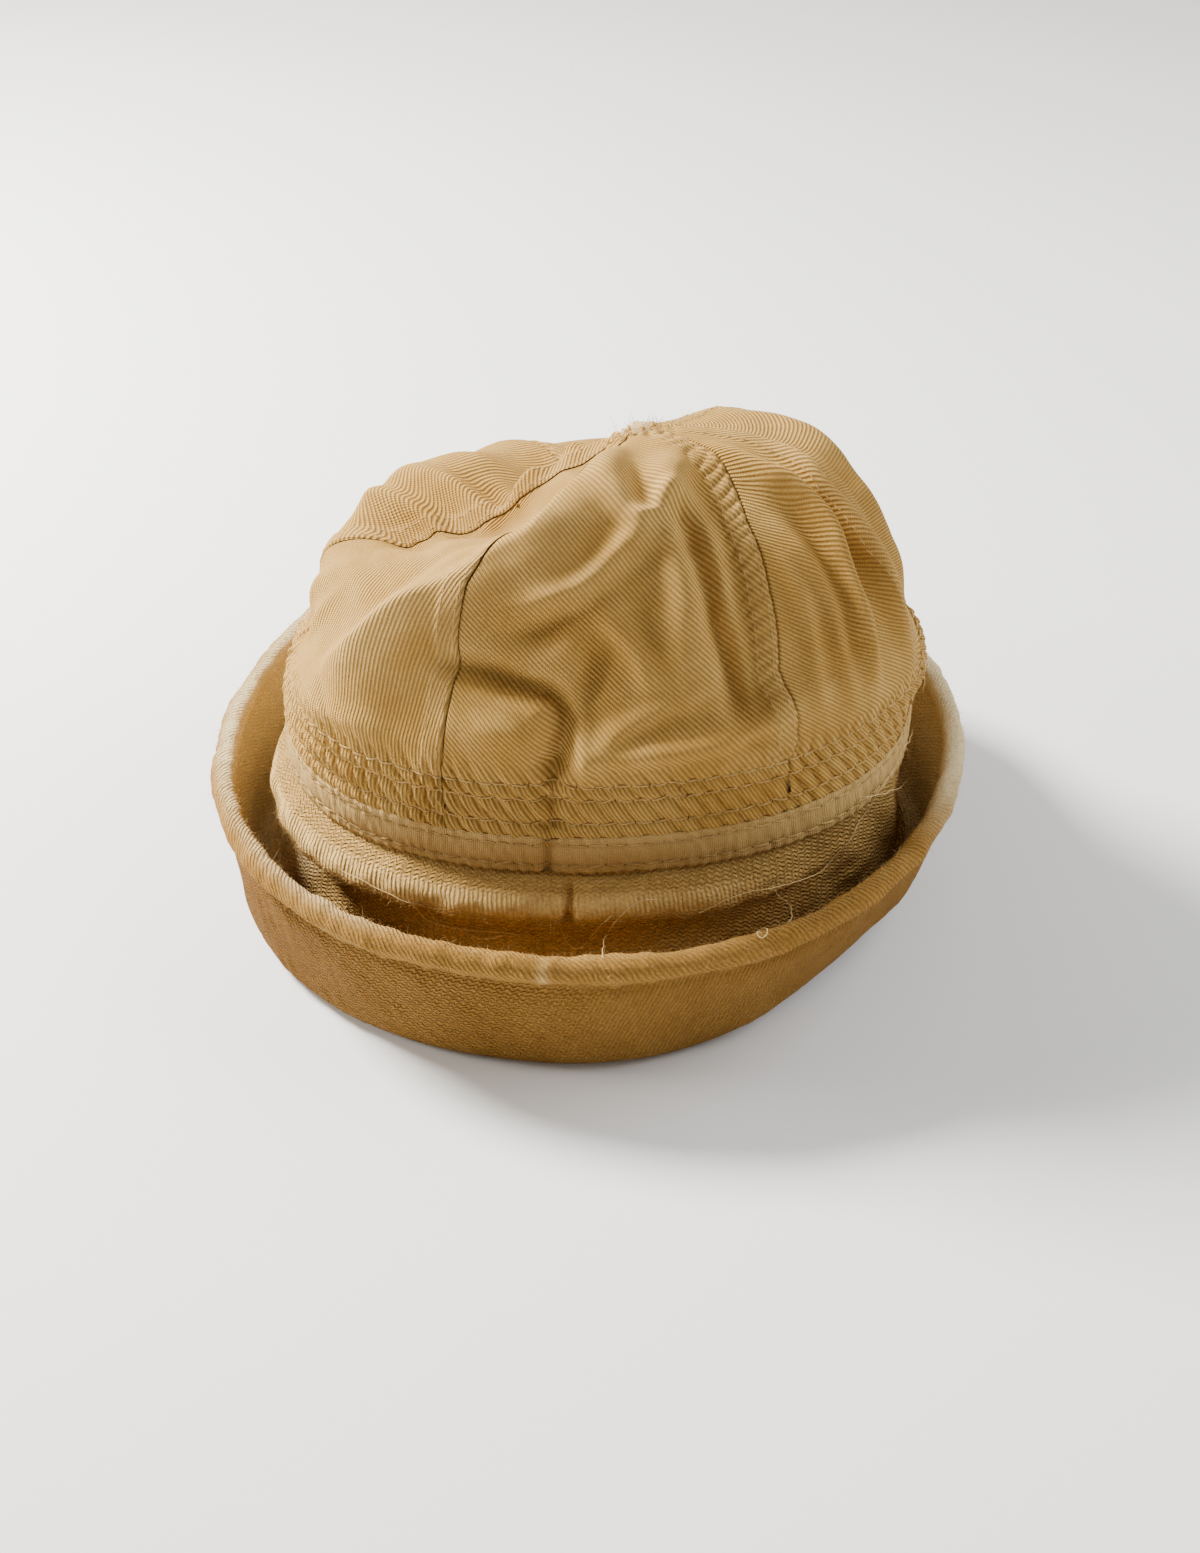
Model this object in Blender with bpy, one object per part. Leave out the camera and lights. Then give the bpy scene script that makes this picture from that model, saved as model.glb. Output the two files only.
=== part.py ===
"""Sailor cap of cotton twill: six crown gores, a binding tape and a turned-up brim.

Metres, +Z up. The cap rests on the fold of its brim at z = 0. Its front faces -Y.
A turn is measured in degrees around the cap from the front, positive towards +X.
A climb is the distance along the cloth from the joint of crown and brim to the tip.
"""
import math

import bpy
import numpy as np

# Ring of the binding tape, on its outer face
RING_HALF_WIDTH = 0.0980
RING_FRONT = 0.0725
RING_BACK = 0.0850
RING_SQUARENESS = 0.020
RING_SIDE_SHIFT = 0.0030
RING_SIDE_TILT = 0.031
RING_BACK_TILT = 0.030

# Binding tape
TAPE_LOW = 0.0530
TAPE_WIDTH = 0.0135
TAPE_THICKNESS = 0.0010

# Crown
CROWN_HEIGHT = 0.0930
CROWN_FULLNESS = 1.035
CROWN_BOXINESS_FRONT = 2.5
CROWN_BOXINESS_BACK = 1.75
CROWN_LEAN_SIDE = 0.0130
CROWN_LEAN_BACK = 0.0110
CROWN_WALL = 0.0012
BAND_HEIGHT = 0.0170
BAND_INSET = 0.0014
PUFF_START = 0.003
PUFF_END = 0.012
SEAM_LAP_RISE = 0.0006
TIP_RADIUS = 0.0018
TIP_EASE = 0.0084
FOLD_SIZE = 0.0100

# Brim
BRIM_WALL = 0.0026
RIM_HALF_WIDTH = 0.1118
RIM_FRONT = 0.1030
RIM_BACK = 0.1110
RIM_HEIGHT = 0.0480
RIM_ROLL = 0.0066
RIM_CREASE_DROP = 0.0110
RIM_CREASE_DEPTH = 0.0012
FOLD_REACH = 0.0205
FOLD_LIFT = 0.0120
FOLD_FLAT = 0.0060
FOLD_ROUND = 0.0045
RIDGE_REACH = 0.0085
RIDGE_DROP = 0.0140

# How far around the cap the back's fuller shape takes over, as minus the cosine of the turn
BACK_SHAPE_START = -0.5
BACK_SHAPE_END = 1.0

# Room between neighbouring pieces
CLEARANCE = 0.0003
SEAM_GAP = 0.0004

# Cloth colours and finish
CROWN_COLOUR = (0.72, 0.52, 0.27)
TAPE_COLOUR = (0.62, 0.42, 0.19)
BRIM_COLOUR = (0.55, 0.34, 0.12)
CLOTH_ROUGHNESS = 0.95

# Fineness of the faceted solids
PROFILE_STEPS = 1501
GORE_COLUMNS = 10
GORE_ROWS = 17
FOLD_STEPS = 24

# Steps over which a slope of the crown is measured: fine ones for folds, broad ones for walls
FINE_TURN = 0.5
FINE_CLIMB = 0.0008
BROAD_TURN = 3.0
BROAD_CLIMB = 0.0040

BAND_TOP = 0.5 * TAPE_WIDTH + BAND_HEIGHT
JOINT_HEIGHT = TAPE_LOW + 0.5 * TAPE_WIDTH
CLOTH_INSET = TAPE_THICKNESS + CLEARANCE

# Raised lap beside a seam: shares across the gore and of the lap's rise, and the shares of
# the gore's length over which it dies out near the tip
LAP_SPREADS = (0.00, 0.82, 0.90, 0.98, 1.00)
LAP_RISES = (0.0, 0.0, 1.0, 1.0, 0.3)
LAP_FADE_START = 0.85
LAP_FADE_END = 0.97

# Seams between gores: turn of each at shares of the gore's length
SEAM_SHARES = (0.00, 0.20, 0.35, 0.50, 0.65, 0.80, 1.00)
SEAMS = {
    "front_left": (-26, -28, -31, -35, -37, -36, -36),
    "front_right": (34, 34, 28, 28, 30, 38, 42),
    "right": (86, 76, 66, 63, 68, 86, 96),
    "back_right": (150, 150, 150, 150, 150, 152, 155),
    "back_left": (210, 210, 210, 210, 210, 208, 207),
    "left": (268, 267, 268, 273, 282, 286, 285),
}
GORES = (
    ("crown_gore_front", "front_left", "front_right"),
    ("crown_gore_front_right", "front_right", "right"),
    ("crown_gore_back_right", "right", "back_right"),
    ("crown_gore_back", "back_right", "back_left"),
    ("crown_gore_back_left", "back_left", "left"),
    ("crown_gore_front_left", "left", "front_left"),
)

# Folds of the crown. Each has the width of its left and right flank as seen when walking
# along it outside the cap, then its stations: turn, share of the gore's length, and rise
# as a share of FOLD_SIZE, below zero for a valley.
FOLDS = {
    "main_ridge": (0.55, 1.70, (
        (-60, 0.26, 0.2), (-54, 0.32, 0.9), (-46, 0.43, 1.1), (-38, 0.50, 1.0), (-32, 0.565, 1.0),
        (-27, 0.60, 1.1), (-25, 0.65, 1.2), (-25, 0.70, 1.1), (-20, 0.80, 0.8), (-14, 0.88, 0.3))),
    "left_hollow": (1.60, 1.40, (
        (-100, 0.44, -0.6), (-86, 0.54, -1.5), (-70, 0.64, -1.9), (-56, 0.72, -1.9), (-56, 0.84, -1.0))),
    "back_left_sink": (1.80, 1.80, (
        (-84, 0.76, -0.6), (-112, 0.72, -2.2), (-140, 0.70, -2.3), (-168, 0.72, -1.4),
        (-196, 0.76, -0.8))),
    "left_shoulder": (1.40, 1.40, (
        (-88, 0.34, 0.3), (-98, 0.40, 0.85), (-108, 0.47, 0.85), (-122, 0.54, 0.30), (-140, 0.56, 0.15))),
    "left_pinch": (1.00, 1.00, ((-112, 0.22, -0.5), (-96, 0.24, -0.8), (-80, 0.24, -0.5))),
    "front_bulge": (1.00, 0.70, (
        (4, 0.74, 0.3), (8, 0.66, 0.5), (9, 0.50, 0.5), (10, 0.36, 0.3))),
    "front_valley": (0.60, 0.40, (
        (16, 0.72, -0.2), (17, 0.60, -0.5), (19, 0.45, -0.6), (22, 0.32, -0.6), (24, 0.24, -0.3))),
    "top_vee_left": (0.50, 0.70, ((-20, 0.90, 0.1), (-14, 0.80, 0.4), (-2, 0.68, 0.3))),
    "top_vee_right": (0.70, 0.50, ((-2, 0.68, 0.3), (12, 0.76, 0.5), (20, 0.86, 0.2))),
    "front_diagonal": (0.80, 0.50, ((2, 0.62, 0.1), (-6, 0.54, 0.35), (-11, 0.46, 0.3), (-15, 0.38, 0.1))),
    "waist_crease": (0.45, 0.45, (
        (-32, 0.37, -0.2), (-23, 0.35, -0.4), (-13, 0.33, -0.5), (-10, 0.28, -0.6), (-9, 0.21, -0.5))),
    "waist_puff": (0.70, 0.70, ((-27, 0.27, 0.2), (-18, 0.27, 0.4), (-13, 0.27, 0.3))),
    "band_puff": (0.50, 0.50, (
        (-2, 0.22, 0.2), (8, 0.225, 0.4), (18, 0.23, 0.45), (26, 0.25, 0.45), (36, 0.27, 0.2))),
    "right_ridge": (0.60, 0.60, (
        (40, 0.86, 0.1), (48, 0.76, 0.4), (51, 0.62, 0.5), (47, 0.48, 0.3), (47, 0.36, 0.3),
        (50, 0.24, 0.1))),
    "right_valley": (0.60, 0.60, ((60, 0.74, -0.2), (58, 0.60, -0.4), (55, 0.45, -0.4), (57, 0.30, -0.2))),
    "right_shoulder": (1.10, 1.10, (
        (84, 0.70, 0.1), (100, 0.67, 0.45), (118, 0.68, 0.4), (138, 0.74, 0.35), (156, 0.80, 0.3),
        (170, 0.84, 0.1))),
    "right_flank": (1.20, 1.20, (
        (66, 0.44, 0.0), (80, 0.46, -0.42), (92, 0.50, -0.3), (104, 0.54, 0.0))),
    "top_sink": (1.20, 1.20, (
        (-104, 0.90, -0.3), (-130, 0.89, -0.65), (-162, 0.89, -0.65), (-196, 0.90, -0.2))),
    "right_waist": (1.50, 1.50, ((74, 0.32, -0.4), (94, 0.32, -1.1), (120, 0.36, -0.8))),
    "right_foot": (0.80, 0.80, ((60, 0.13, 0.1), (80, 0.13, 0.6), (98, 0.13, 0.7), (116, 0.14, 0.2))),
    "back_dent": (1.60, 1.60, ((150, 0.50, -0.2), (176, 0.56, -0.5), (205, 0.52, -0.2))),
}

# Brim stations: turn, reach of the bottom fold in FOLD_REACH, its lift in FOLD_LIFT, rim
# height in RIM_HEIGHT, ridge in RIDGE_REACH, and share of the rim's oval that the rim keeps
BRIM_STATIONS = (
    # turn, fold, lift, rim, ridge, spread
    (-180, 1.00, 0.0, 1.10, 0.0, 1.00),
    (-135, 0.90, 0.0, 1.06, 0.1, 1.01),
    (-110, 0.84, 0.0, 1.00, 0.5, 1.00),
    (-90, 0.80, 0.0, 0.97, 0.8, 1.00),
    (-60, 1.05, 0.0, 1.01, 1.0, 1.00),
    (-30, 1.36, 0.0, 1.01, 1.0, 1.00),
    (0, 1.46, 0.0, 1.005, 0.95, 1.00),
    (20, 1.20, 0.1, 1.025, 0.85, 1.00),
    (36, 0.78, 0.6, 1.045, 0.2, 0.99),
    (50, 0.52, 1.0, 1.07, 0.0, 0.98),
    (70, 0.46, 1.0, 1.06, 0.0, 0.98),
    (90, 0.50, 0.7, 1.05, 0.0, 1.01),
    (110, 0.62, 0.4, 1.055, 0.0, 1.035),
    (130, 0.78, 0.1, 1.07, 0.0, 1.03),
    (150, 0.92, 0.0, 1.10, 0.0, 1.01),
    (180, 1.00, 0.0, 1.10, 0.0, 1.00),
)
STATION_EASE = 12.0
EASE_STEPS = 9

# Overhanging ridge of the inner wall: share of RIDGE_DROP below the tape, share of its reach
RIDGE_SHAPE = ((0.20, 0.55), (0.45, 0.92), (0.75, 1.00), (1.00, 0.80), (1.08, 0.30))
# Inner wall below the ridge: share of the way down to the trough, share of the way out
WALL_SHAPE = ((0.50, 0.12), (0.75, 0.38), (0.92, 0.75), (1.00, 1.00))
# Trough beside the inner wall's foot: shares of FOLD_ROUND outward and up
TROUGH_OUT = 0.60
TROUGH_RISE = 0.10
TROUGH_WALL_RISE = 0.80
# Inner face of the outer wall: a point this share of the way from trough to roll
OUTER_WALL_BEND = 0.55
# Rolled rim: angles of its section in degrees, and how far its neck is set in and down
ROLL_ANGLES = (190, 130, 75, 20, -30)
ROLL_INSET = 0.25
ROLL_NECK_DROP = 0.20
# Outer face: end of the crease in RIM_CREASE_DROP, and a point between rim and fold
CREASE_END = 1.5
OUTER_FACE_REACH = 0.25
OUTER_FACE_RISE = 0.30
# Flattened bottom fold: shares of FOLD_ROUND inward and up at its outer corner
CORNER_IN = 0.50
CORNER_RISE = 0.15


def oval(turn, half_width, front, back):
    """Plan point on an egg-shaped ring around the cap's middle."""
    angle = np.radians(turn)
    depth = 0.5 * (front + back) + 0.5 * (front - back) * np.cos(angle)
    square = 1.0 + RING_SQUARENESS * np.sin(2.0 * angle) ** 2
    return half_width * np.sin(angle) * square, -depth * np.cos(angle) * square


def smooth(value, low, high):
    """Eased step from 0 at low to 1 at high."""
    share = np.clip((value - low) / (high - low), 0.0, 1.0)
    return share * share * (3.0 - 2.0 * share)


def crown_profile(boxiness):
    """Climb, reach share and rise of the crown, from the joint to the tip."""
    swing = np.linspace(0.0, 0.5 * math.pi, PROFILE_STEPS)
    rise = CROWN_HEIGHT * np.sin(swing) ** (2.0 / boxiness)
    dome = CROWN_FULLNESS * np.abs(np.cos(swing)) ** (2.0 / boxiness)
    inset = BAND_INSET * smooth(rise, 0.5 * TAPE_WIDTH, BAND_TOP)
    band = 1.0 - inset / RING_HALF_WIDTH
    free = smooth(rise, BAND_TOP - PUFF_START, BAND_TOP + PUFF_END)
    reach = band + (dome - band) * free
    radius = (RING_HALF_WIDTH + RING_FRONT + RING_BACK) / 3.0
    steps = np.hypot(np.diff(rise), radius * np.diff(reach))
    climb = np.concatenate([[0.0], np.cumsum(steps)])
    return climb, reach, rise


FRONT_CLIMB, FRONT_REACH, FRONT_RISE = crown_profile(CROWN_BOXINESS_FRONT)
BACK_CLIMB, BACK_REACH, BACK_RISE = crown_profile(CROWN_BOXINESS_BACK)
GORE_LENGTH = float(FRONT_CLIMB[-1])
CLIMB_LIMIT = GORE_LENGTH - 0.25 * TIP_RADIUS


def crown_base(turn, climb):
    """Point on the outer face of the crown before folds are laid in."""
    back = smooth(-np.cos(np.radians(turn)), BACK_SHAPE_START, BACK_SHAPE_END)
    reach = np.interp(climb, FRONT_CLIMB, FRONT_REACH)
    rise = np.interp(climb, FRONT_CLIMB, FRONT_RISE)
    back_climb = climb * (BACK_CLIMB[-1] / GORE_LENGTH)
    reach = reach + back * (np.interp(back_climb, BACK_CLIMB, BACK_REACH) - reach)
    rise = rise + back * (np.interp(back_climb, BACK_CLIMB, BACK_RISE) - rise)
    x, y = oval(turn, RING_HALF_WIDTH - CLOTH_INSET, RING_FRONT - CLOTH_INSET, RING_BACK - CLOTH_INSET)
    lean = np.sin(0.5 * math.pi * np.clip((rise - BAND_TOP) / (CROWN_HEIGHT - BAND_TOP), 0.0, 1.0))
    px = x * reach + RING_SIDE_SHIFT + CROWN_LEAN_SIDE * lean
    py = y * reach + CROWN_LEAN_BACK * lean
    tilt = RING_SIDE_TILT * x * reach + RING_BACK_TILT * y * reach
    return np.stack([px, py, JOINT_HEIGHT + rise + tilt], -1)


def face_normal(surface, turn, climb, turn_step=FINE_TURN, climb_step=FINE_CLIMB):
    """Outward unit normal of a surface given as a function of turn and climb."""
    low = np.maximum(climb - climb_step, 0.0)
    high = np.minimum(climb + climb_step, CLIMB_LIMIT)
    along = surface(turn + turn_step, climb) - surface(turn - turn_step, climb)
    up = surface(turn, high) - surface(turn, low)
    normal = np.cross(along, up)
    return normal / np.linalg.norm(normal, axis=-1, keepdims=True)


def fold_line(stations):
    """Points, directions, normals and rises along one fold, through its stations."""
    rows = np.array(stations, float)
    marks = np.arange(len(rows))
    spots = np.linspace(0.0, len(rows) - 1.0, FOLD_STEPS)
    columns = []
    for column in rows.T:
        slope = np.gradient(column)
        index = np.minimum(spots.astype(int), len(rows) - 2)
        part = spots - marks[index]
        ease = part * part * (3.0 - 2.0 * part)
        bend = part * (1.0 - part) ** 2 * slope[index] - part ** 2 * (1.0 - part) * slope[index + 1]
        columns.append(column[index] + ease * (column[index + 1] - column[index]) + bend)
    turn, share, rise = columns
    climb = share * GORE_LENGTH
    points = crown_base(turn, climb)
    ways = np.gradient(points, axis=0)
    ways /= np.linalg.norm(ways, axis=-1, keepdims=True)
    return points, ways, face_normal(crown_base, turn, climb), rise * FOLD_SIZE


def nearest_on_line(points, line):
    """Segment of a line nearest to each point, the share along it, and the offset from it."""
    gap = ((points[:, None, :] - line[None, :, :]) ** 2).sum(-1).argmin(1)
    best = None
    for shift in (-1, 0):
        start = np.clip(gap + shift, 0, len(line) - 2)
        run = line[start + 1] - line[start]
        share = ((points - line[start]) * run).sum(-1) / (run ** 2).sum(-1)
        share = np.clip(share, 0.0, 1.0)
        offset = points - line[start] - run * share[:, None]
        square = (offset ** 2).sum(-1)
        if best is None:
            best = [start, share, offset, square]
        else:
            closer = square < best[3]
            for slot, value in enumerate((start, share, offset, square)):
                best[slot][closer] = value[closer]
    return best


def fold_rise(points):
    """How far the folds lift or sink the cloth at points on the base surface."""
    flat = points.reshape(-1, 3)
    total = np.zeros(len(flat))
    for left_width, right_width, stations in FOLDS.values():
        line, ways, normals, rises = fold_line(stations)
        start, share, offset, square = nearest_on_line(flat, line)
        mix = share[:, None]
        normal = normals[start] * (1.0 - mix) + normals[start + 1] * mix
        way = ways[start] * (1.0 - mix) + ways[start + 1] * mix
        rise = rises[start] * (1.0 - share) + rises[start + 1] * share
        side = (np.cross(normal, way) * offset).sum(-1) / (np.sqrt(square) + 1e-6)
        left = smooth(side, -1.0, 1.0)
        width = FOLD_SIZE * (right_width + (left_width - right_width) * left)
        total += rise * np.exp(-square / width ** 2)
    return total.reshape(points.shape[:-1])


def crown_face(turn, climb):
    """Point on the outer face of the crown with its folds."""
    base = crown_base(turn, climb)
    free = smooth(climb, 0.5 * TAPE_WIDTH, BAND_TOP)
    tip = 1.0 - smooth(climb, GORE_LENGTH - TIP_EASE, GORE_LENGTH)
    rise = fold_rise(base) * free * tip
    return base + face_normal(crown_base, turn, climb) * rise[..., None]


def stations_between_seams():
    """Turns of the columns shared by the gores' feet, the tape and the brim."""
    turns = []
    for _, near_seam, far_seam in GORES:
        start = SEAMS[near_seam][0]
        sweep = (SEAMS[far_seam][0] - start) % 360
        turns.extend(start + sweep * np.arange(GORE_COLUMNS) / GORE_COLUMNS)
    return np.array(turns)


def around(column, turn):
    """Value of a brim column at a turn, eased between its stations."""
    turns = [row[0] for row in BRIM_STATIONS]
    values = [row[column] for row in BRIM_STATIONS]
    eased = np.zeros(len(turn))
    shifts = np.linspace(-STATION_EASE, STATION_EASE, EASE_STEPS)
    weights = np.cos(0.4 * math.pi * shifts / STATION_EASE)
    for shift, weight in zip(shifts, weights):
        eased += weight * np.interp(turn + shift, turns, values, period=360)
    return eased / weights.sum()


def ring_frame(turn):
    """Tape ring points at z = 0, way out to the rim, span to the rim, and ring tilt."""
    x, y = oval(turn, RING_HALF_WIDTH, RING_FRONT, RING_BACK)
    level = np.zeros_like(x)
    ring = np.stack([x + RING_SIDE_SHIFT, y, level], -1)
    rim_x, rim_y = oval(turn, RIM_HALF_WIDTH, RIM_FRONT, RIM_BACK)
    rim = np.stack([rim_x, rim_y, level], -1) * around(5, turn)[:, None]
    span = np.linalg.norm(rim - ring, axis=-1)
    return ring, (rim - ring) / span[:, None], span, RING_SIDE_TILT * x + RING_BACK_TILT * y


def loft_rings(turn, section):
    """Points of a closed ring whose section is a list of (reach, height) columns."""
    ring, way, _, _ = ring_frame(turn)
    up = np.array([0.0, 0.0, 1.0])
    rows = [ring + way * reach[:, None] + up * height[:, None] for reach, height in section]
    return np.stack(rows, 1)


def ring_faces(turns, rows):
    """Quads of a tube closed around its section and around the cap."""
    faces = []
    for turn in range(turns):
        after = (turn + 1) % turns
        for row in range(rows):
            up = (row + 1) % rows
            faces.append((turn * rows + row, after * rows + row, after * rows + up, turn * rows + up))
    return faces


def tape_section(turn):
    """The tape: a thin flat ring over the joint."""
    _, _, _, tilt = ring_frame(turn)
    low = TAPE_LOW + tilt
    high = low + TAPE_WIDTH
    inner = np.full(len(turn), -TAPE_THICKNESS)
    outer = np.zeros(len(turn))
    return [(inner, low), (outer, low), (outer, high), (inner, high)]


def inner_wall_section(skin, tape, foot, floor, ridge):
    """Outer face of the brim's inner wall, from the tape over the ridge to the trough."""
    fall = tape - floor
    section = []
    for down, out in RIDGE_SHAPE:
        depth = RIDGE_DROP * down
        slack = np.interp(depth / fall, [0.0, WALL_SHAPE[0][0], 1.0], [0.0, WALL_SHAPE[0][1], 1.0])
        section.append((skin + slack * (foot - skin) + ridge * RIDGE_REACH * out, tape - depth))
    for down, out in WALL_SHAPE:
        section.append((skin + out * (foot - skin), tape - down * fall))
    return section


def outer_wall_section(fold, lift, span, rim):
    """The brim's outer wall: its inner face, the rolled rim and its creased outer face."""
    inside = fold - BRIM_WALL
    start = lift + BRIM_WALL + TROUGH_WALL_RISE * FOLD_ROUND
    neck = rim - RIM_ROLL
    section = [(inside, start)]
    bend = OUTER_WALL_BEND
    section.append((inside + bend * (span - inside), start + bend * (neck - start)))
    section.append((span + ROLL_INSET * RIM_ROLL, neck - ROLL_NECK_DROP * RIM_ROLL))
    for angle in np.radians(ROLL_ANGLES):
        out = span + 0.5 * RIM_ROLL * (1.0 + math.cos(angle))
        section.append((out, rim + 0.5 * RIM_ROLL * (math.sin(angle) - 1.0)))
    top = span + ROLL_INSET * RIM_ROLL + BRIM_WALL
    slope = (top - fold) / (rim - lift)
    section.append((top - slope * RIM_CREASE_DROP - RIM_CREASE_DEPTH, rim - RIM_CREASE_DROP))
    end = CREASE_END * RIM_CREASE_DROP
    section.append((top - slope * end, rim - end))
    section.append((fold + OUTER_FACE_REACH * (top - fold), lift + OUTER_FACE_RISE * (rim - lift)))
    return section


def brim_section(turn):
    """The brim: inner wall, ridge, bottom fold, outer wall and rolled rim."""
    _, _, span, tilt = ring_frame(turn)
    fold = FOLD_REACH * around(1, turn)
    lift = FOLD_LIFT * around(2, turn)
    rim = RIM_HEIGHT * around(3, turn)
    ridge = around(4, turn)
    tape = TAPE_LOW + tilt
    joint = JOINT_HEIGHT + tilt - CLEARANCE
    skin = np.full(len(turn), -CLOTH_INSET)
    foot = fold - 2.0 * BRIM_WALL - FOLD_ROUND
    floor = lift + BRIM_WALL
    section = [(skin, joint), (skin, tape)]
    section += inner_wall_section(skin, tape, foot, floor, ridge)
    section.append((foot + TROUGH_OUT * FOLD_ROUND, floor + TROUGH_RISE * FOLD_ROUND))
    section += outer_wall_section(fold, lift, span, rim)
    # flattened bottom fold
    section.append((fold, lift + FOLD_ROUND))
    section.append((fold - CORNER_IN * FOLD_ROUND, lift + CORNER_RISE * FOLD_ROUND))
    section.append((fold - FOLD_ROUND, lift))
    section.append((fold - FOLD_ROUND - FOLD_FLAT, lift))
    # head side of the inner wall, back up to the joint
    inner = skin - BRIM_WALL
    for down, out in reversed(WALL_SHAPE[:-1]):
        section.append((inner + out * (foot - skin), tape - down * (tape - floor)))
    section.append((inner, tape))
    section.append((inner, joint))
    return section[::-1]


def seam_turn(seam, share):
    """Turn of a seam at shares of the gore's length."""
    return np.interp(share, SEAM_SHARES, SEAMS[seam])


def gore_points(near_seam, far_seam):
    """Outer and inner grids of a gore, row by row from its foot to its tip."""
    shares = np.linspace(0.0, 1.0 - TIP_RADIUS / GORE_LENGTH, GORE_ROWS + 1)
    across = np.linspace(0.0, 1.0, GORE_COLUMNS + 1)
    share, spread = np.meshgrid(shares, across, indexing="ij")
    near = seam_turn(near_seam, share)
    turn = near + ((seam_turn(far_seam, share) - near) % 360) * spread
    climb = share * GORE_LENGTH
    outer = crown_face(turn, climb)
    normal = face_normal(crown_face, turn, climb, BROAD_TURN, BROAD_CLIMB)
    for column, side in ((0, 1.0), (-1, -1.0)):
        way = np.gradient(outer[:, column], axis=0)
        inward = side * np.cross(way, normal[:, column])
        inward /= np.linalg.norm(inward, axis=-1, keepdims=True)
        outer[:, column] += 0.5 * SEAM_GAP * inward
    inner = outer - normal * CROWN_WALL
    lap = smooth(climb, 0.5 * TAPE_WIDTH, BAND_TOP) * (1.0 - smooth(share, LAP_FADE_START, LAP_FADE_END))
    raised = SEAM_LAP_RISE * lap * np.interp(spread, LAP_SPREADS, LAP_RISES)
    return outer + normal * raised[..., None], inner


def gore_faces(rows, columns):
    """Quads of a closed cloth wall from an outer and an inner grid."""
    inside = rows * columns
    faces = []
    for row in range(rows - 1):
        for column in range(columns - 1):
            corner = row * columns + column
            quad = (corner, corner + 1, corner + columns + 1, corner + columns)
            faces.append(quad)
            faces.append(tuple(inside + spot for spot in reversed(quad)))
    border = [column for column in range(columns - 1)]
    border += [row * columns + columns - 1 for row in range(rows - 1)]
    border += [(rows - 1) * columns + column for column in range(columns - 1, 0, -1)]
    border += [row * columns for row in range(rows - 1, 0, -1)]
    for corner, after in zip(border, border[1:] + border[:1]):
        faces.append((after, corner, inside + corner, inside + after))
    return faces


def make_piece(name, points, faces, colour):
    """One named mesh object with its own material."""
    mesh = bpy.data.meshes.new(name)
    mesh.from_pydata([tuple(point) for point in points], [], faces)
    mesh.validate()
    mesh.shade_smooth()
    piece = bpy.data.objects.new(name, mesh)
    bpy.context.scene.collection.objects.link(piece)
    material = bpy.data.materials.new(name)
    material.use_nodes = True
    shader = material.node_tree.nodes["Principled BSDF"]
    shader.inputs["Base Color"].default_value = (*colour, 1.0)
    shader.inputs["Roughness"].default_value = CLOTH_ROUGHNESS
    shader.inputs["Metallic"].default_value = 0.0
    mesh.materials.append(material)
    return piece


def make_gores(middle):
    """The six gores of the crown."""
    for name, near_seam, far_seam in GORES:
        outer, inner = gore_points(near_seam, far_seam)
        points = np.concatenate([outer.reshape(-1, 3), inner.reshape(-1, 3)])
        make_piece(name, points - middle, gore_faces(*outer.shape[:2]), CROWN_COLOUR)


def make_ring(name, points, middle, colour):
    """A closed ring of cloth from its lofted points."""
    make_piece(name, points.reshape(-1, 3) - middle, ring_faces(*points.shape[:2]), colour)


def main():
    """Clear the scene and build the cap with the middle of its plan over the origin."""
    for old in list(bpy.data.objects):
        bpy.data.objects.remove(old)
    turn = stations_between_seams()
    brim = loft_rings(turn, brim_section(turn))
    middle = 0.5 * (brim.min((0, 1)) + brim.max((0, 1)))
    middle[2] = 0.0
    make_gores(middle)
    make_ring("band_tape", loft_rings(turn, tape_section(turn)), middle, TAPE_COLOUR)
    make_ring("brim", brim, middle, BRIM_COLOUR)


main()
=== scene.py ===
"""Looks of the sailor cap: faded cotton twill crown, stitched tape and a coarse turned-up brim.

Metres, +Z up, in the frame of the CAD part. A turn is in degrees around the cap from the front,
positive towards +X. A climb is the distance along the crown's cloth from its foot to the tip.
"""
import math
import bpy
import numpy as np
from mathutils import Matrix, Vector


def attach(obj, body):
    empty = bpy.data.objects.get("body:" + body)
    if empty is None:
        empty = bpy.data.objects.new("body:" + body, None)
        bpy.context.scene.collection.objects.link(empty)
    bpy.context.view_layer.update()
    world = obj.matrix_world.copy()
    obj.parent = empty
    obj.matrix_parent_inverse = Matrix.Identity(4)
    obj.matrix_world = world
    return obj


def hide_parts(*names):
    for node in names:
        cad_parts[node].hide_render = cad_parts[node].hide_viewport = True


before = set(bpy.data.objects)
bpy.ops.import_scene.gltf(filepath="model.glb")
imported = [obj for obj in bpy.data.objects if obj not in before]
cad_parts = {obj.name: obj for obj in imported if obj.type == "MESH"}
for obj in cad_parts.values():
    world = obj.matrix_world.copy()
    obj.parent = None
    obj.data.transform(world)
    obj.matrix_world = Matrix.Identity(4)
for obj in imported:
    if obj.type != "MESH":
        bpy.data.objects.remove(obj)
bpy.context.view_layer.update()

# Ring of the binding tape, on its outer face
RING_HALF_WIDTH = 0.0980
RING_FRONT = 0.0725
RING_BACK = 0.0850
RING_SQUARENESS = 0.020
RING_SIDE_SHIFT = 0.0030
RING_SIDE_TILT = 0.031
RING_BACK_TILT = 0.030
MIDDLE = np.array((0.00068, 0.00411, 0.0))

# Binding tape
TAPE_LOW = 0.0530
TAPE_WIDTH = 0.0135
TAPE_THICKNESS = 0.0010

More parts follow.
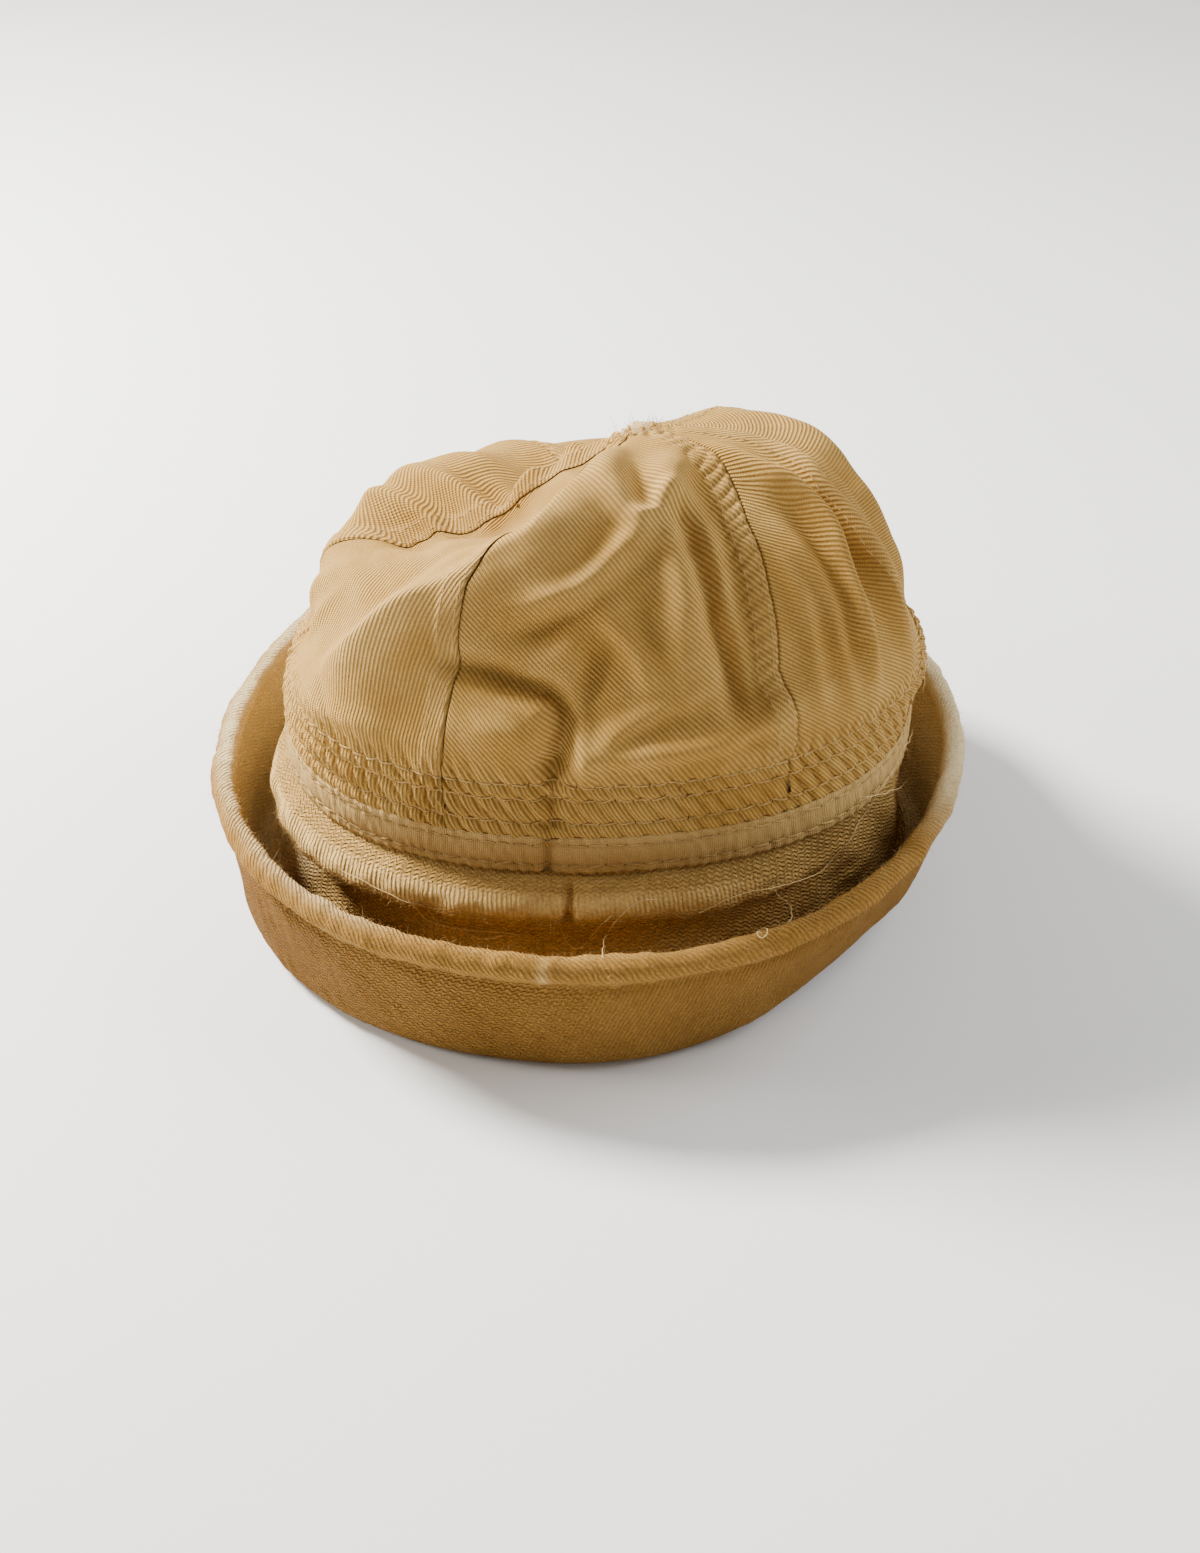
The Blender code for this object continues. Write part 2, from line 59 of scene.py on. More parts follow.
# Crown
CROWN_HEIGHT = 0.0930
CROWN_FULLNESS = 1.035
CROWN_BOXINESS_FRONT = 2.5
CROWN_BOXINESS_BACK = 1.75
CROWN_LEAN_SIDE = 0.0130
CROWN_LEAN_BACK = 0.0110
BAND_HEIGHT = 0.0170
BAND_INSET = 0.0014
PUFF_START = 0.003
PUFF_END = 0.012
TIP_RADIUS = 0.0018
TIP_EASE = 0.0084
FOLD_SIZE = 0.0100
BACK_SHAPE_START = -0.5
BACK_SHAPE_END = 1.0

# Brim
BRIM_WALL = 0.0026
RIM_HALF_WIDTH = 0.1118
RIM_FRONT = 0.1030
RIM_BACK = 0.1110
RIM_HEIGHT = 0.0480
RIM_ROLL = 0.0066
RIM_CREASE_DROP = 0.0110
RIM_CREASE_DEPTH = 0.0012
FOLD_REACH = 0.0205
FOLD_LIFT = 0.0120
FOLD_FLAT = 0.0060
FOLD_ROUND = 0.0045
RIDGE_REACH = 0.0085
RIDGE_DROP = 0.0140

CLEARANCE = 0.0003
PROFILE_STEPS = 1501
FOLD_STEPS = 72
BAND_TOP = 0.5 * TAPE_WIDTH + BAND_HEIGHT
JOINT_HEIGHT = TAPE_LOW + 0.5 * TAPE_WIDTH
CLOTH_INSET = TAPE_THICKNESS + CLEARANCE

# Stitched band of the crown: heights of its stitch rows above the tape
BAND_ROWS = (0.0040, 0.0118, 0.0170)
PUCKER_PITCH = 0.0056
PUCKER_SLANT = 0.45
PUCKER_RISE = 0.00100
PUFF_RISE = 0.0011

# Stitch rows of the tape, as shares of its section, and those of the felled strips, away from the seam
TAPE_ROWS = (0.27, 0.73)
LAP_ROWS = (0.0015, 0.0060)
TAPE_STITCH = 0.0056
BAND_STITCH = 0.0052
ROW_THREAD = {"fill": 0.90, "radius": 0.00031, "sway": 0.00030}
LAP_THREAD = {"pitch": 0.0040, "fill": 0.80, "radius": 0.00017, "sway": 0.00010, "lift": -0.00005}

# Rolled edge of the tape, deepest lump of the brim, and turns of a crease, a notch and a worn patch
TAPE_EDGE = 0.0008
LUMP_LIMIT = 0.00030
CREASE_TURN = -8.5
NOTCH_TURN = -4.6
PATCH_TURN = -6.0

# Seams: felled strip beside each one, its rise, and the groove at its edge
LAP_WIDTH = 0.0072
LAP_RISE = 0.00040
LAP_PINCH_PITCH = 0.0044
LAP_PINCH = 0.00050
GROOVE_WIDTH = 0.00045
GROOVE_DEPTH = 0.00060
# Depth of the crown's inside below its outer face, and how closely columns crowd at the seams
INSIDE_OFFSET = 0.0014
EDGE_CROWDING = 0.62

# Fineness of the modelled cloth
FRONT_COLUMNS = 190
BACK_COLUMNS = 110
BAND_COURSES = 70
CROWN_COURSES = 135
RING_COLUMNS = 1120
RING_TURNS = np.linspace(-180.0, 180.0, RING_COLUMNS, endpoint=False)
FIBRE_STEPS = 4
FIBRE_SIDES = 3
BAKE_PAD = 0.02

SEAM_SHARES = (0.00, 0.20, 0.35, 0.50, 0.65, 0.80, 1.00)
SEAMS = {
    "front_left": (-26, -28, -31, -35, -34, -25, -31),
    "front_right": (34, 34, 28, 28, 30, 38, 42),
    "right": (86, 76, 66, 63, 68, 86, 96),
    "back_right": (150, 150, 150, 150, 150, 152, 155),
    "back_left": (210, 210, 210, 210, 210, 208, 207),
    "left": (268, 267, 268, 273, 282, 286, 285),
}
# Gores: name, seam on each side, and slant of the twill lines in degrees below the horizontal
GORES = (
    ("crown_gore_front", "front_left", "front_right", 40.0),
    ("crown_gore_front_right", "front_right", "right", 40.0),
    ("crown_gore_back_right", "right", "back_right", 20.0),
    ("crown_gore_back", "back_right", "back_left", 40.0),
    ("crown_gore_back_left", "back_left", "left", 12.0),
    ("crown_gore_front_left", "left", "front_left", 82.0),
)
FRONT_GORES = ("crown_gore_front", "crown_gore_front_left", "crown_gore_front_right")
# How strongly the felled strip beside each seam is pinched
SEAM_PINCH = {
    "front_left": 0.10, "front_right": 0.9, "right": 0.03, "back_right": 0.15, "back_left": 0.3, "left": 0.0}

# Twill lines: pitch in millimetres, steeper slant in the stitched band, and how they straighten above it
TWILL_PITCH = 1.08
BAND_SLANT = 62.0
BAND_SLANT_LEFT = 84.0
BAND_STRETCH = 0.74
BAND_STRETCH_END = 0.060

# Folds of the crown. Each has the width of its left and right flank as seen when walking
# along it outside the cap, then its stations: turn, share of the gore's length, and rise
# as a share of FOLD_SIZE, below zero for a valley.
FOLDS = {
    "main_ridge": (0.55, 1.7, ((-60, 0.26, 0.2), (-54, 0.32, 0.9), (-46, 0.43, 1.1), (-38, 0.5, 1.0),
        (-32, 0.565, 1.0), (-27, 0.6, 1.1), (-25, 0.65, 1.2), (-25, 0.7, 1.1), (-20, 0.8, 0.8),
        (-14, 0.88, 0.3))),
    "left_hollow": (1.6, 1.4, ((-100, 0.44, -0.6), (-86, 0.54, -1.5), (-70, 0.64, -1.9), (-56, 0.72, -1.9),
        (-56, 0.84, -1.0))),
    "back_left_sink": (1.8, 1.8, ((-84, 0.76, -0.6), (-112, 0.72, -2.2), (-140, 0.7, -2.3),
        (-168, 0.72, -1.4), (-196, 0.76, -0.8))),
    "left_shoulder": (1.4, 1.4, ((-88, 0.34, 0.3), (-98, 0.4, 0.85), (-108, 0.47, 0.85), (-122, 0.54, 0.3),
        (-140, 0.56, 0.15))),
    "left_pinch": (1.0, 1.0, ((-112, 0.22, -0.5), (-96, 0.24, -0.8), (-80, 0.24, -0.5))),
    "front_bulge": (1.0, 0.7, ((4, 0.74, 0.3), (8, 0.66, 0.5), (9, 0.5, 0.5), (10, 0.36, 0.3))),
    "front_valley": (0.6, 0.4, ((16, 0.72, -0.2), (17, 0.6, -0.5), (19, 0.45, -0.6), (22, 0.32, -0.6),
        (24, 0.24, -0.3))),
    "top_vee_left": (0.5, 0.7, ((-20, 0.9, 0.1), (-14, 0.8, 0.4), (-2, 0.68, 0.3))),
    "top_vee_right": (0.7, 0.5, ((-2, 0.68, 0.3), (12, 0.76, 0.5), (20, 0.86, 0.2))),
    "front_diagonal": (0.8, 0.5, ((2, 0.62, 0.1), (-6, 0.54, 0.35), (-11, 0.46, 0.3), (-15, 0.38, 0.1))),
    "waist_crease": (0.45, 0.45, ((-32, 0.37, -0.2), (-23, 0.35, -0.4), (-13, 0.33, -0.5),
        (-10, 0.28, -0.6), (-9, 0.21, -0.5))),
    "waist_puff": (0.7, 0.7, ((-27, 0.27, 0.2), (-18, 0.27, 0.4), (-13, 0.27, 0.3))),
    "band_puff": (0.5, 0.5, ((-2, 0.22, 0.2), (8, 0.225, 0.4), (18, 0.23, 0.45), (26, 0.25, 0.45),
        (36, 0.27, 0.2))),
    "right_ridge": (0.6, 0.6, ((40, 0.86, 0.1), (48, 0.76, 0.4), (51, 0.62, 0.5), (47, 0.48, 0.3),
        (47, 0.36, 0.3), (50, 0.24, 0.1))),
    "right_valley": (0.6, 0.6, ((60, 0.74, -0.2), (58, 0.6, -0.4), (55, 0.45, -0.4), (57, 0.3, -0.2))),
    "right_shoulder": (1.1, 1.1, ((84, 0.7, 0.1), (100, 0.67, 0.45), (118, 0.68, 0.4), (138, 0.74, 0.35),
        (156, 0.8, 0.3), (170, 0.84, 0.1))),
    "right_flank": (1.2, 1.2, ((66, 0.44, 0.0), (80, 0.46, -0.42), (92, 0.5, -0.3), (104, 0.54, 0.0))),
    "top_sink": (1.2, 1.2, ((-104, 0.9, -0.3), (-130, 0.89, -0.65), (-162, 0.89, -0.65),
        (-196, 0.9, -0.2))),
    "right_waist": (1.5, 1.5, ((74, 0.32, -0.4), (94, 0.32, -1.1), (120, 0.36, -0.8))),
    "right_foot": (0.8, 0.8, ((60, 0.13, 0.1), (80, 0.13, 0.6), (98, 0.13, 0.7), (116, 0.14, 0.2))),
    "back_dent": (1.6, 1.6, ((150, 0.5, -0.2), (176, 0.56, -0.5), (205, 0.52, -0.2))),
}

# Finer folds that only the looks have, in the same form
FINE_FOLDS = {
    "vee_left_crest": (0.42, 0.34, ((-22, 0.82, 0.04), (-15, 0.75, 0.14), (-7, 0.69, 0.2),
        (-1, 0.655, 0.18), (2, 0.63, 0.05))),
    "vee_right_crest": (0.34, 0.4, ((1, 0.655, 0.13), (6, 0.69, 0.32), (10, 0.71, 0.4), (14, 0.705, 0.37),
        (17, 0.66, 0.26), (18, 0.58, 0.15), (19, 0.5, 0.05))),
    "vee_hollow": (0.45, 0.45, ((-6, 0.8, -0.12), (-2, 0.74, -0.41), (1, 0.69, -0.47), (2, 0.665, -0.12))),
    "vee_far_hollow": (0.4, 0.4, ((4, 0.64, -0.06), (8, 0.665, -0.2), (11, 0.66, -0.26),
        (12, 0.62, -0.13))),
    "valley_line": (0.32, 0.3, ((10, 0.67, -0.1), (12, 0.61, -0.4), (14, 0.54, -0.54), (15, 0.46, -0.56),
        (18, 0.38, -0.54), (20, 0.3, -0.37), (21, 0.25, -0.1))),
    "valley_crest": (0.34, 0.4, ((16, 0.66, 0.1), (17, 0.6, 0.4), (18, 0.5, 0.46), (20, 0.41, 0.46),
        (22, 0.33, 0.33), (23, 0.27, 0.1))),
    "diagonal_crest": (0.5, 0.38, ((4, 0.64, 0.09), (-3, 0.615, 0.33), (-10, 0.54, 0.46), (-17, 0.5, 0.4),
        (-25, 0.465, 0.13))),
    "diagonal_hollow": (0.4, 0.4, ((3, 0.6, -0.1), (-4, 0.56, -0.32), (-11, 0.49, -0.46),
        (-18, 0.455, -0.4), (-25, 0.435, -0.1))),
    "second_crest": (0.45, 0.4, ((-10, 0.5, 0.09), (-6, 0.475, 0.28), (-1, 0.43, 0.41), (3, 0.38, 0.38),
        (5, 0.33, 0.1))),
    "second_hollow": (0.4, 0.4, ((-7, 0.46, -0.09), (-6, 0.42, -0.37), (-6, 0.36, -0.45), (-5, 0.3, -0.29),
        (-3, 0.26, -0.09))),
    "waist_line": (0.36, 0.34, ((-36, 0.375, -0.05), (-30, 0.37, -0.15), (-24, 0.365, -0.2),
        (-18, 0.345, -0.26), (-13, 0.335, -0.3), (-10, 0.31, -0.32), (-8.5, 0.27, -0.32),
        (-8, 0.22, -0.32), (-8, 0.15, -0.3), (-8, 0.08, -0.26), (-8.5, 0.04, -0.16))),
    "pocket_crest": (0.34, 0.3, ((-30, 0.335, 0.05), (-25, 0.328, 0.2), (-19, 0.318, 0.26),
        (-15, 0.308, 0.28), (-12.5, 0.285, 0.2), (-12, 0.25, 0.05))),
    "crease_crest": (0.28, 0.34, ((-5.5, 0.3, 0.05), (-5.5, 0.26, 0.2), (-4.5, 0.22, 0.24),
        (-2, 0.19, 0.12), (0, 0.18, 0.03))),
    "low_diagonal": (0.34, 0.34, ((13, 0.33, 0.06), (8, 0.31, 0.22), (3, 0.29, 0.31), (-1, 0.26, 0.33),
        (-4, 0.21, 0.09))),
    "band_fold": (0.4, 0.32, ((-2, 0.215, 0.07), (4, 0.23, 0.23), (10, 0.238, 0.3), (16, 0.245, 0.32),
        (22, 0.258, 0.31), (27, 0.275, 0.25), (33, 0.3, 0.07))),
    "band_fold_under": (0.26, 0.26, ((0, 0.2, -0.05), (8, 0.205, -0.16), (16, 0.21, -0.2),
        (24, 0.22, -0.16), (31, 0.24, -0.05))),
    "right_one": (0.38, 0.38, ((43, 0.88, 0.06), (44, 0.82, 0.21), (46, 0.74, 0.32), (50, 0.68, 0.37),
        (51, 0.6, 0.34), (48, 0.52, 0.3), (47, 0.43, 0.32), (48, 0.34, 0.28), (50, 0.25, 0.07))),
    "right_one_hollow": (0.34, 0.34, ((55, 0.7, -0.06), (56, 0.62, -0.23), (54, 0.54, -0.3),
        (52, 0.46, -0.28), (52, 0.36, -0.23), (55, 0.27, -0.06))),
    "right_two": (0.38, 0.38, ((80, 0.76, 0.06), (70, 0.7, 0.21), (64, 0.66, 0.3), (61, 0.58, 0.32),
        (60, 0.48, 0.32), (61, 0.38, 0.3), (64, 0.29, 0.23), (69, 0.2, 0.07))),
    "right_three": (0.3, 0.3, ((33, 0.58, 0.04), (34, 0.52, 0.14), (34.5, 0.45, 0.2), (35, 0.38, 0.2),
        (36, 0.3, 0.12), (37, 0.25, 0.03))),
    "right_four": (0.32, 0.32, ((37, 0.62, 0.04), (39, 0.54, 0.18), (40.5, 0.45, 0.24), (41, 0.36, 0.24),
        (44, 0.27, 0.14), (46, 0.22, 0.04))),
    "right_four_hollow": (0.3, 0.3, ((43, 0.66, -0.04), (43.5, 0.56, -0.18), (43.5, 0.46, -0.22),
        (44, 0.37, -0.2), (46.5, 0.28, -0.05))),
    "far_right": (0.38, 0.38, ((92, 0.62, 0.05), (82, 0.54, 0.18), (78, 0.46, 0.24), (80, 0.34, 0.2),
        (88, 0.22, 0.05))),
    "far_right_hollow": (0.36, 0.36, ((84, 0.66, -0.05), (72, 0.56, -0.2), (70, 0.46, -0.24),
        (72, 0.34, -0.18), (78, 0.24, -0.05))),
    "ridge_crest": (0.36, 0.55, ((-54, 0.31, 0.04), (-52, 0.36, 0.16), (-50, 0.41, 0.26),
        (-47.5, 0.46, 0.32), (-46, 0.51, 0.34), (-43, 0.555, 0.34), (-37, 0.59, 0.32), (-31, 0.617, 0.28),
        (-26.5, 0.64, 0.18), (-25, 0.67, 0.05))),
    "hollow_fill": (1.0, 1.0, ((-62, 0.66, 0.1), (-57, 0.72, 0.45), (-53, 0.8, 0.6), (-50, 0.88, 0.15))),
    "hollow_fold_low": (0.38, 0.38, ((-102, 0.4, 0.08), (-102, 0.45, 0.36), (-98, 0.5, 0.57),
        (-91, 0.545, 0.52), (-80, 0.57, 0.29), (-66, 0.58, 0.11))),
    "hollow_low_line": (0.34, 0.34, ((-96, 0.41, -0.08), (-92, 0.46, -0.33), (-82, 0.5, -0.45),
        (-70, 0.53, -0.36), (-58, 0.545, -0.11))),
    "hollow_fold_middle": (0.45, 0.45, ((-110, 0.48, 0.07), (-107, 0.54, 0.3), (-101, 0.6, 0.46),
        (-93, 0.64, 0.38), (-82, 0.66, 0.16), (-70, 0.67, 0.04))),
    "hollow_middle_line": (0.4, 0.4, ((-112, 0.58, -0.07), (-106, 0.645, -0.3), (-98, 0.69, -0.38),
        (-88, 0.71, -0.22), (-76, 0.72, -0.05))),
    "hollow_fold_high": (0.48, 0.48, ((-124, 0.6, 0.07), (-117, 0.67, 0.27), (-108, 0.74, 0.46),
        (-98, 0.77, 0.41), (-86, 0.78, 0.19), (-72, 0.78, 0.04))),
    "hollow_high_line": (0.44, 0.44, ((-128, 0.72, -0.07), (-118, 0.77, -0.3), (-106, 0.81, -0.38),
        (-92, 0.82, -0.19), (-78, 0.82, -0.04))),
    "hollow_far_fold": (0.48, 0.48, ((-144, 0.7, 0.07), (-132, 0.77, 0.3), (-118, 0.83, 0.38),
        (-100, 0.86, 0.22), (-82, 0.86, 0.04))),
    "left_face_one": (0.45, 0.5, ((-92, 0.36, 0.05), (-80, 0.4, 0.16), (-70, 0.42, 0.2),
        (-60, 0.41, 0.06))),
    "left_face_two": (0.32, 0.4, ((-80, 0.2, 0.04), (-77, 0.26, 0.16), (-74, 0.32, 0.18),
        (-72, 0.38, 0.05))),
    "left_face_three": (0.32, 0.32, ((-88, 0.22, 0.04), (-86, 0.27, 0.15), (-84, 0.33, 0.15),
        (-80, 0.38, 0.04))),
    "left_foot": (0.36, 0.36, ((-66, 0.2, 0.04), (-56, 0.21, 0.14), (-46, 0.22, 0.15),
        (-38, 0.215, 0.04))),
    "back_one": (0.45, 0.55, ((118, 0.4, 0.05), (128, 0.52, 0.22), (140, 0.66, 0.22), (150, 0.8, 0.05))),
    "back_two": (0.45, 0.55, ((160, 0.26, 0.05), (170, 0.42, 0.22), (178, 0.6, 0.22), (176, 0.76, 0.05))),
    "back_three": (0.45, 0.55, ((226, 0.3, 0.05), (218, 0.44, 0.22), (208, 0.58, 0.22),
        (200, 0.72, 0.05))),
    "back_four": (0.45, 0.55, ((240, 0.46, 0.05), (232, 0.6, 0.2), (226, 0.74, 0.18), (222, 0.84, 0.05))),
    "back_foot": (0.4, 0.4, ((142, 0.22, 0.05), (160, 0.215, 0.18), (182, 0.22, 0.18),
        (204, 0.215, 0.05))),
}

# Brim stations: turn, reach of the bottom fold in FOLD_REACH, its lift in FOLD_LIFT, rim
# height in RIM_HEIGHT, ridge in RIDGE_REACH, and share of the rim's oval that the rim keeps
BRIM_STATIONS = (
    # turn, fold, lift, rim, ridge, spread
    (-180, 1.00, 0.0, 1.10, 0.0, 1.00),
    (-135, 0.90, 0.0, 1.06, 0.1, 1.01),
    (-110, 0.84, 0.0, 1.00, 0.5, 1.00),
    (-90, 0.80, 0.0, 0.97, 0.8, 1.00),
    (-60, 1.05, 0.0, 1.01, 1.0, 1.00),
    (-30, 1.36, 0.0, 1.01, 1.0, 1.00),
    (0, 1.46, 0.0, 1.005, 0.95, 1.00),
    (20, 1.20, 0.1, 1.025, 0.85, 1.00),
    (36, 0.78, 0.6, 1.045, 0.2, 0.99),
    (50, 0.52, 1.0, 1.07, 0.0, 0.98),
    (70, 0.46, 1.0, 1.06, 0.0, 0.98),
    (90, 0.50, 0.7, 1.05, 0.0, 1.01),
    (110, 0.62, 0.4, 1.055, 0.0, 1.035),
    (130, 0.78, 0.1, 1.07, 0.0, 1.03),
    (150, 0.92, 0.0, 1.10, 0.0, 1.01),
    (180, 1.00, 0.0, 1.10, 0.0, 1.00),
)
STATION_EASE = 12.0
EASE_STEPS = 9
RIDGE_SHAPE = ((0.20, 0.55), (0.45, 0.92), (0.75, 1.00), (1.00, 0.80), (1.08, 0.30))
WALL_SHAPE = ((0.50, 0.12), (0.75, 0.38), (0.92, 0.75), (1.00, 1.00))
TROUGH_OUT = 0.60
TROUGH_RISE = 0.10
TROUGH_WALL_RISE = 0.80
OUTER_WALL_BEND = 0.55
ROLL_ANGLES = (190, 130, 75, 20, -30)
ROLL_INSET = 0.25
ROLL_NECK_DROP = 0.20
CREASE_END = 1.5
OUTER_FACE_REACH = 0.25
OUTER_FACE_RISE = 0.30
CORNER_IN = 0.50
CORNER_RISE = 0.15

# Share of the outer wall where the turned cuff of the rim ends
CUFF_END = 0.575

# Photo's camera: degrees above the horizon, height of its aim, distance, and its picture
CAMERA_RISE = 36.0
CAMERA_AIM = 0.056
CAMERA_AWAY = 0.65
PIXELS_PER_METRE = 3150.0
PHOTO_MIDDLE = (588.0, 713.0)

# Loose threads: radius and lift off the cloth in metres, and the places in the photo's frame
LOOSE_THREADS = (
    (0.00014, 0.0010, ((921, 640), (926, 668), (922, 700), (910, 738), (890, 775), (868, 808), (848, 842),
        (820, 872), (788, 886), (752, 890), (722, 902), (700, 912))),
    (0.00013, 0.0012, ((902, 742), (911, 757), (911, 775), (900, 788), (880, 795), (860, 797))),
    (0.00013, 0.0008, ((560, 930), (568, 946), (580, 951), (590, 938), (600, 926), (612, 915))),
    (0.00012, 0.0008, ((602, 958), (603, 940), (612, 924), (626, 910), (642, 900), (660, 899))),
    (0.00013, 0.0006, ((338, 868), (360, 880), (384, 892), (405, 902), (424, 905), (432, 918), (450, 928),
        (480, 930), (520, 936))),
    (0.00014, 0.0008, ((412, 903), (420, 914), (436, 925), (458, 930), (484, 940), (505, 936))),
    (0.00016, 0.0012, ((750, 928), (757, 933), (764, 925), (770, 930), (765, 940), (758, 938), (756, 930),
        (762, 934))),
    (0.00013, 0.0008, ((276, 800), (278, 822), (281, 846), (279, 862))),
    (0.00012, 0.0006, ((772, 884), (778, 896), (790, 905), (793, 916), (788, 924))),
)

# Cloth and thread colours
TWILL_LIGHT = (0.67, 0.418, 0.122)
TWILL_MID = (0.53, 0.298, 0.068)
TWILL_DARK = (0.27, 0.135, 0.028)
# Paler twill on fold crests (wear and painted highlight) and on the felled strips (wear)
TWILL_WEAR_AND_PAINTED_LIGHT = (0.80, 0.60, 0.33)
TAPE_LIGHT = (0.78, 0.52, 0.200)
TAPE_MID = (0.67, 0.430, 0.155)
TAPE_DARK = (0.34, 0.19, 0.050)
TAPE_WORN = (0.76, 0.58, 0.34)
BRIM_LIGHT = (0.62, 0.350, 0.088)
BRIM_MID = (0.52, 0.280, 0.060)
BRIM_DARK = (0.26, 0.110, 0.013)
# Paler brim: a worn patch, painted light over the inner wall and the ridge's crest, and the rim's top (wear
# and painted highlight)
RIM_WEAR_AND_PAINTED_LIGHT = (0.90, 0.61, 0.23)
# Darkens the outer face and the cuff: grime and painted shade
BRIM_GRIME_AND_SHADE = (0.46, 0.40, 0.30)
# Pale felted cloth, also used as painted light in shaded hollows: the trough at the left, the inside of the
# outer wall at the sides and back, and the rim's top at the left and right
BRIM_FELT_AND_PAINTED_LIGHT = (0.86, 0.69, 0.39)
# Dark colour for the crown's seams and stitch rows and the tape's stitch rows and crease: painted shade
# there, with some dirt in the seams
DIRT_AND_SHADE = (0.21, 0.115, 0.035)
INSIDE_COLOURS = (0.42, 0.27, 0.11), (0.56, 0.39, 0.19)
# Threads: light and dark yarn
STITCH_COLOURS = (0.60, 0.40, 0.155), (0.42, 0.26, 0.09)
# Dark dashes at the needle holes: painted shade
HOLE_SHADE_COLOURS = (0.17, 0.085, 0.022), (0.11, 0.05, 0.012)
LOOSE_COLOURS = (0.82, 0.61, 0.30), (0.62, 0.42, 0.17)
FUZZ_COLOURS = (0.64, 0.44, 0.19), (0.48, 0.30, 0.11)

# Stage: lamps with their place, size, power and tint, and the lens
FLOOR_SIZE = 3.0
FLOOR_COLOUR = (0.96, 0.96, 0.955, 1.0)
SKY_COLOUR = (1.0, 0.945, 0.86, 1.0)
SKY_STRENGTH = 0.33
LAMPS = (
    ("key", (-0.80, 0.42, 0.80), 0.36, 53.0, (1.0, 0.975, 0.92)),
    ("side", (-0.96, -0.04, 0.44), 0.30, 4.5, (1.0, 0.955, 0.87)),
    ("fill", (0.80, 0.10, 0.70), 0.90, 9.5, (0.94, 0.97, 1.0)),
)
LAMP_AIM = Vector((0.0, 0.0, 0.06))
LENS = 47.46
LENS_SHIFT = (0.0077, -0.0409)


# Shape of the cap

def oval(turn, half_width, front, back):
    """Plan point on an egg-shaped ring around the cap's middle."""
    angle = np.radians(turn)
    depth = 0.5 * (front + back) + 0.5 * (front - back) * np.cos(angle)
    square = 1.0 + RING_SQUARENESS * np.sin(2.0 * angle) ** 2
    return half_width * np.sin(angle) * square, -depth * np.cos(angle) * square


def smooth(value, low, high):
    """Eased step from 0 at low to 1 at high."""
    share = np.clip((value - low) / (high - low), 0.0, 1.0)
    return share * share * (3.0 - 2.0 * share)


def bell(value, centre, width):
    """Bell of height 1 about a centre."""
    return np.exp(-((value - centre) / width) ** 2)


def window(value, start, full, end, gone):
    """Eased rise from 0 to 1 and fall back to 0."""
    return smooth(value, start, full) * (1.0 - smooth(value, end, gone))


def running(steps):
    """Running total that starts at 0."""
    return np.concatenate([[0.0], np.cumsum(steps)])


def run_along(points):
    """Distance along each line of points, from its first point."""
    steps = np.linalg.norm(np.diff(points, axis=-2), axis=-1)
    return np.concatenate([np.zeros_like(steps[..., :1]), np.cumsum(steps, axis=-1)], -1)


def unit(vectors):
    """Vectors brought to length 1."""
    return vectors / np.maximum(np.linalg.norm(vectors, axis=-1, keepdims=True), 1e-12)


def waves(points, size, seed):
    """Smooth random field of about -1 to 1 with features of one size."""
    dice = np.random.default_rng(seed)
    ways = unit(dice.normal(size=(14, 3)))
    ways *= (2.0 * math.pi / size) * dice.uniform(0.6, 1.5, (14, 1))
    shifts = dice.uniform(0.0, 2.0 * math.pi, 14)
    total = np.zeros(points.shape[:-1])
    for way, shift in zip(ways, shifts):
        total += np.sin(points @ way + shift)
    return total / 4.0


def crown_profile(boxiness):
    """Climb, reach share and rise of the crown, from the joint to the tip."""
    swing = np.linspace(0.0, 0.5 * math.pi, PROFILE_STEPS)
    rise = CROWN_HEIGHT * np.sin(swing) ** (2.0 / boxiness)
    dome = CROWN_FULLNESS * np.abs(np.cos(swing)) ** (2.0 / boxiness)
    inset = BAND_INSET * smooth(rise, 0.5 * TAPE_WIDTH, BAND_TOP)
    band = 1.0 - inset / RING_HALF_WIDTH
    free = smooth(rise, BAND_TOP - PUFF_START, BAND_TOP + PUFF_END)
    reach = band + (dome - band) * free
    radius = (RING_HALF_WIDTH + RING_FRONT + RING_BACK) / 3.0
    steps = np.hypot(np.diff(rise), radius * np.diff(reach))
    return running(steps), reach, rise


FRONT_CLIMB, FRONT_REACH, FRONT_RISE = crown_profile(CROWN_BOXINESS_FRONT)
BACK_CLIMB, BACK_REACH, BACK_RISE = crown_profile(CROWN_BOXINESS_BACK)
GORE_LENGTH = float(FRONT_CLIMB[-1])
CLIMB_LIMIT = GORE_LENGTH - 0.25 * TIP_RADIUS


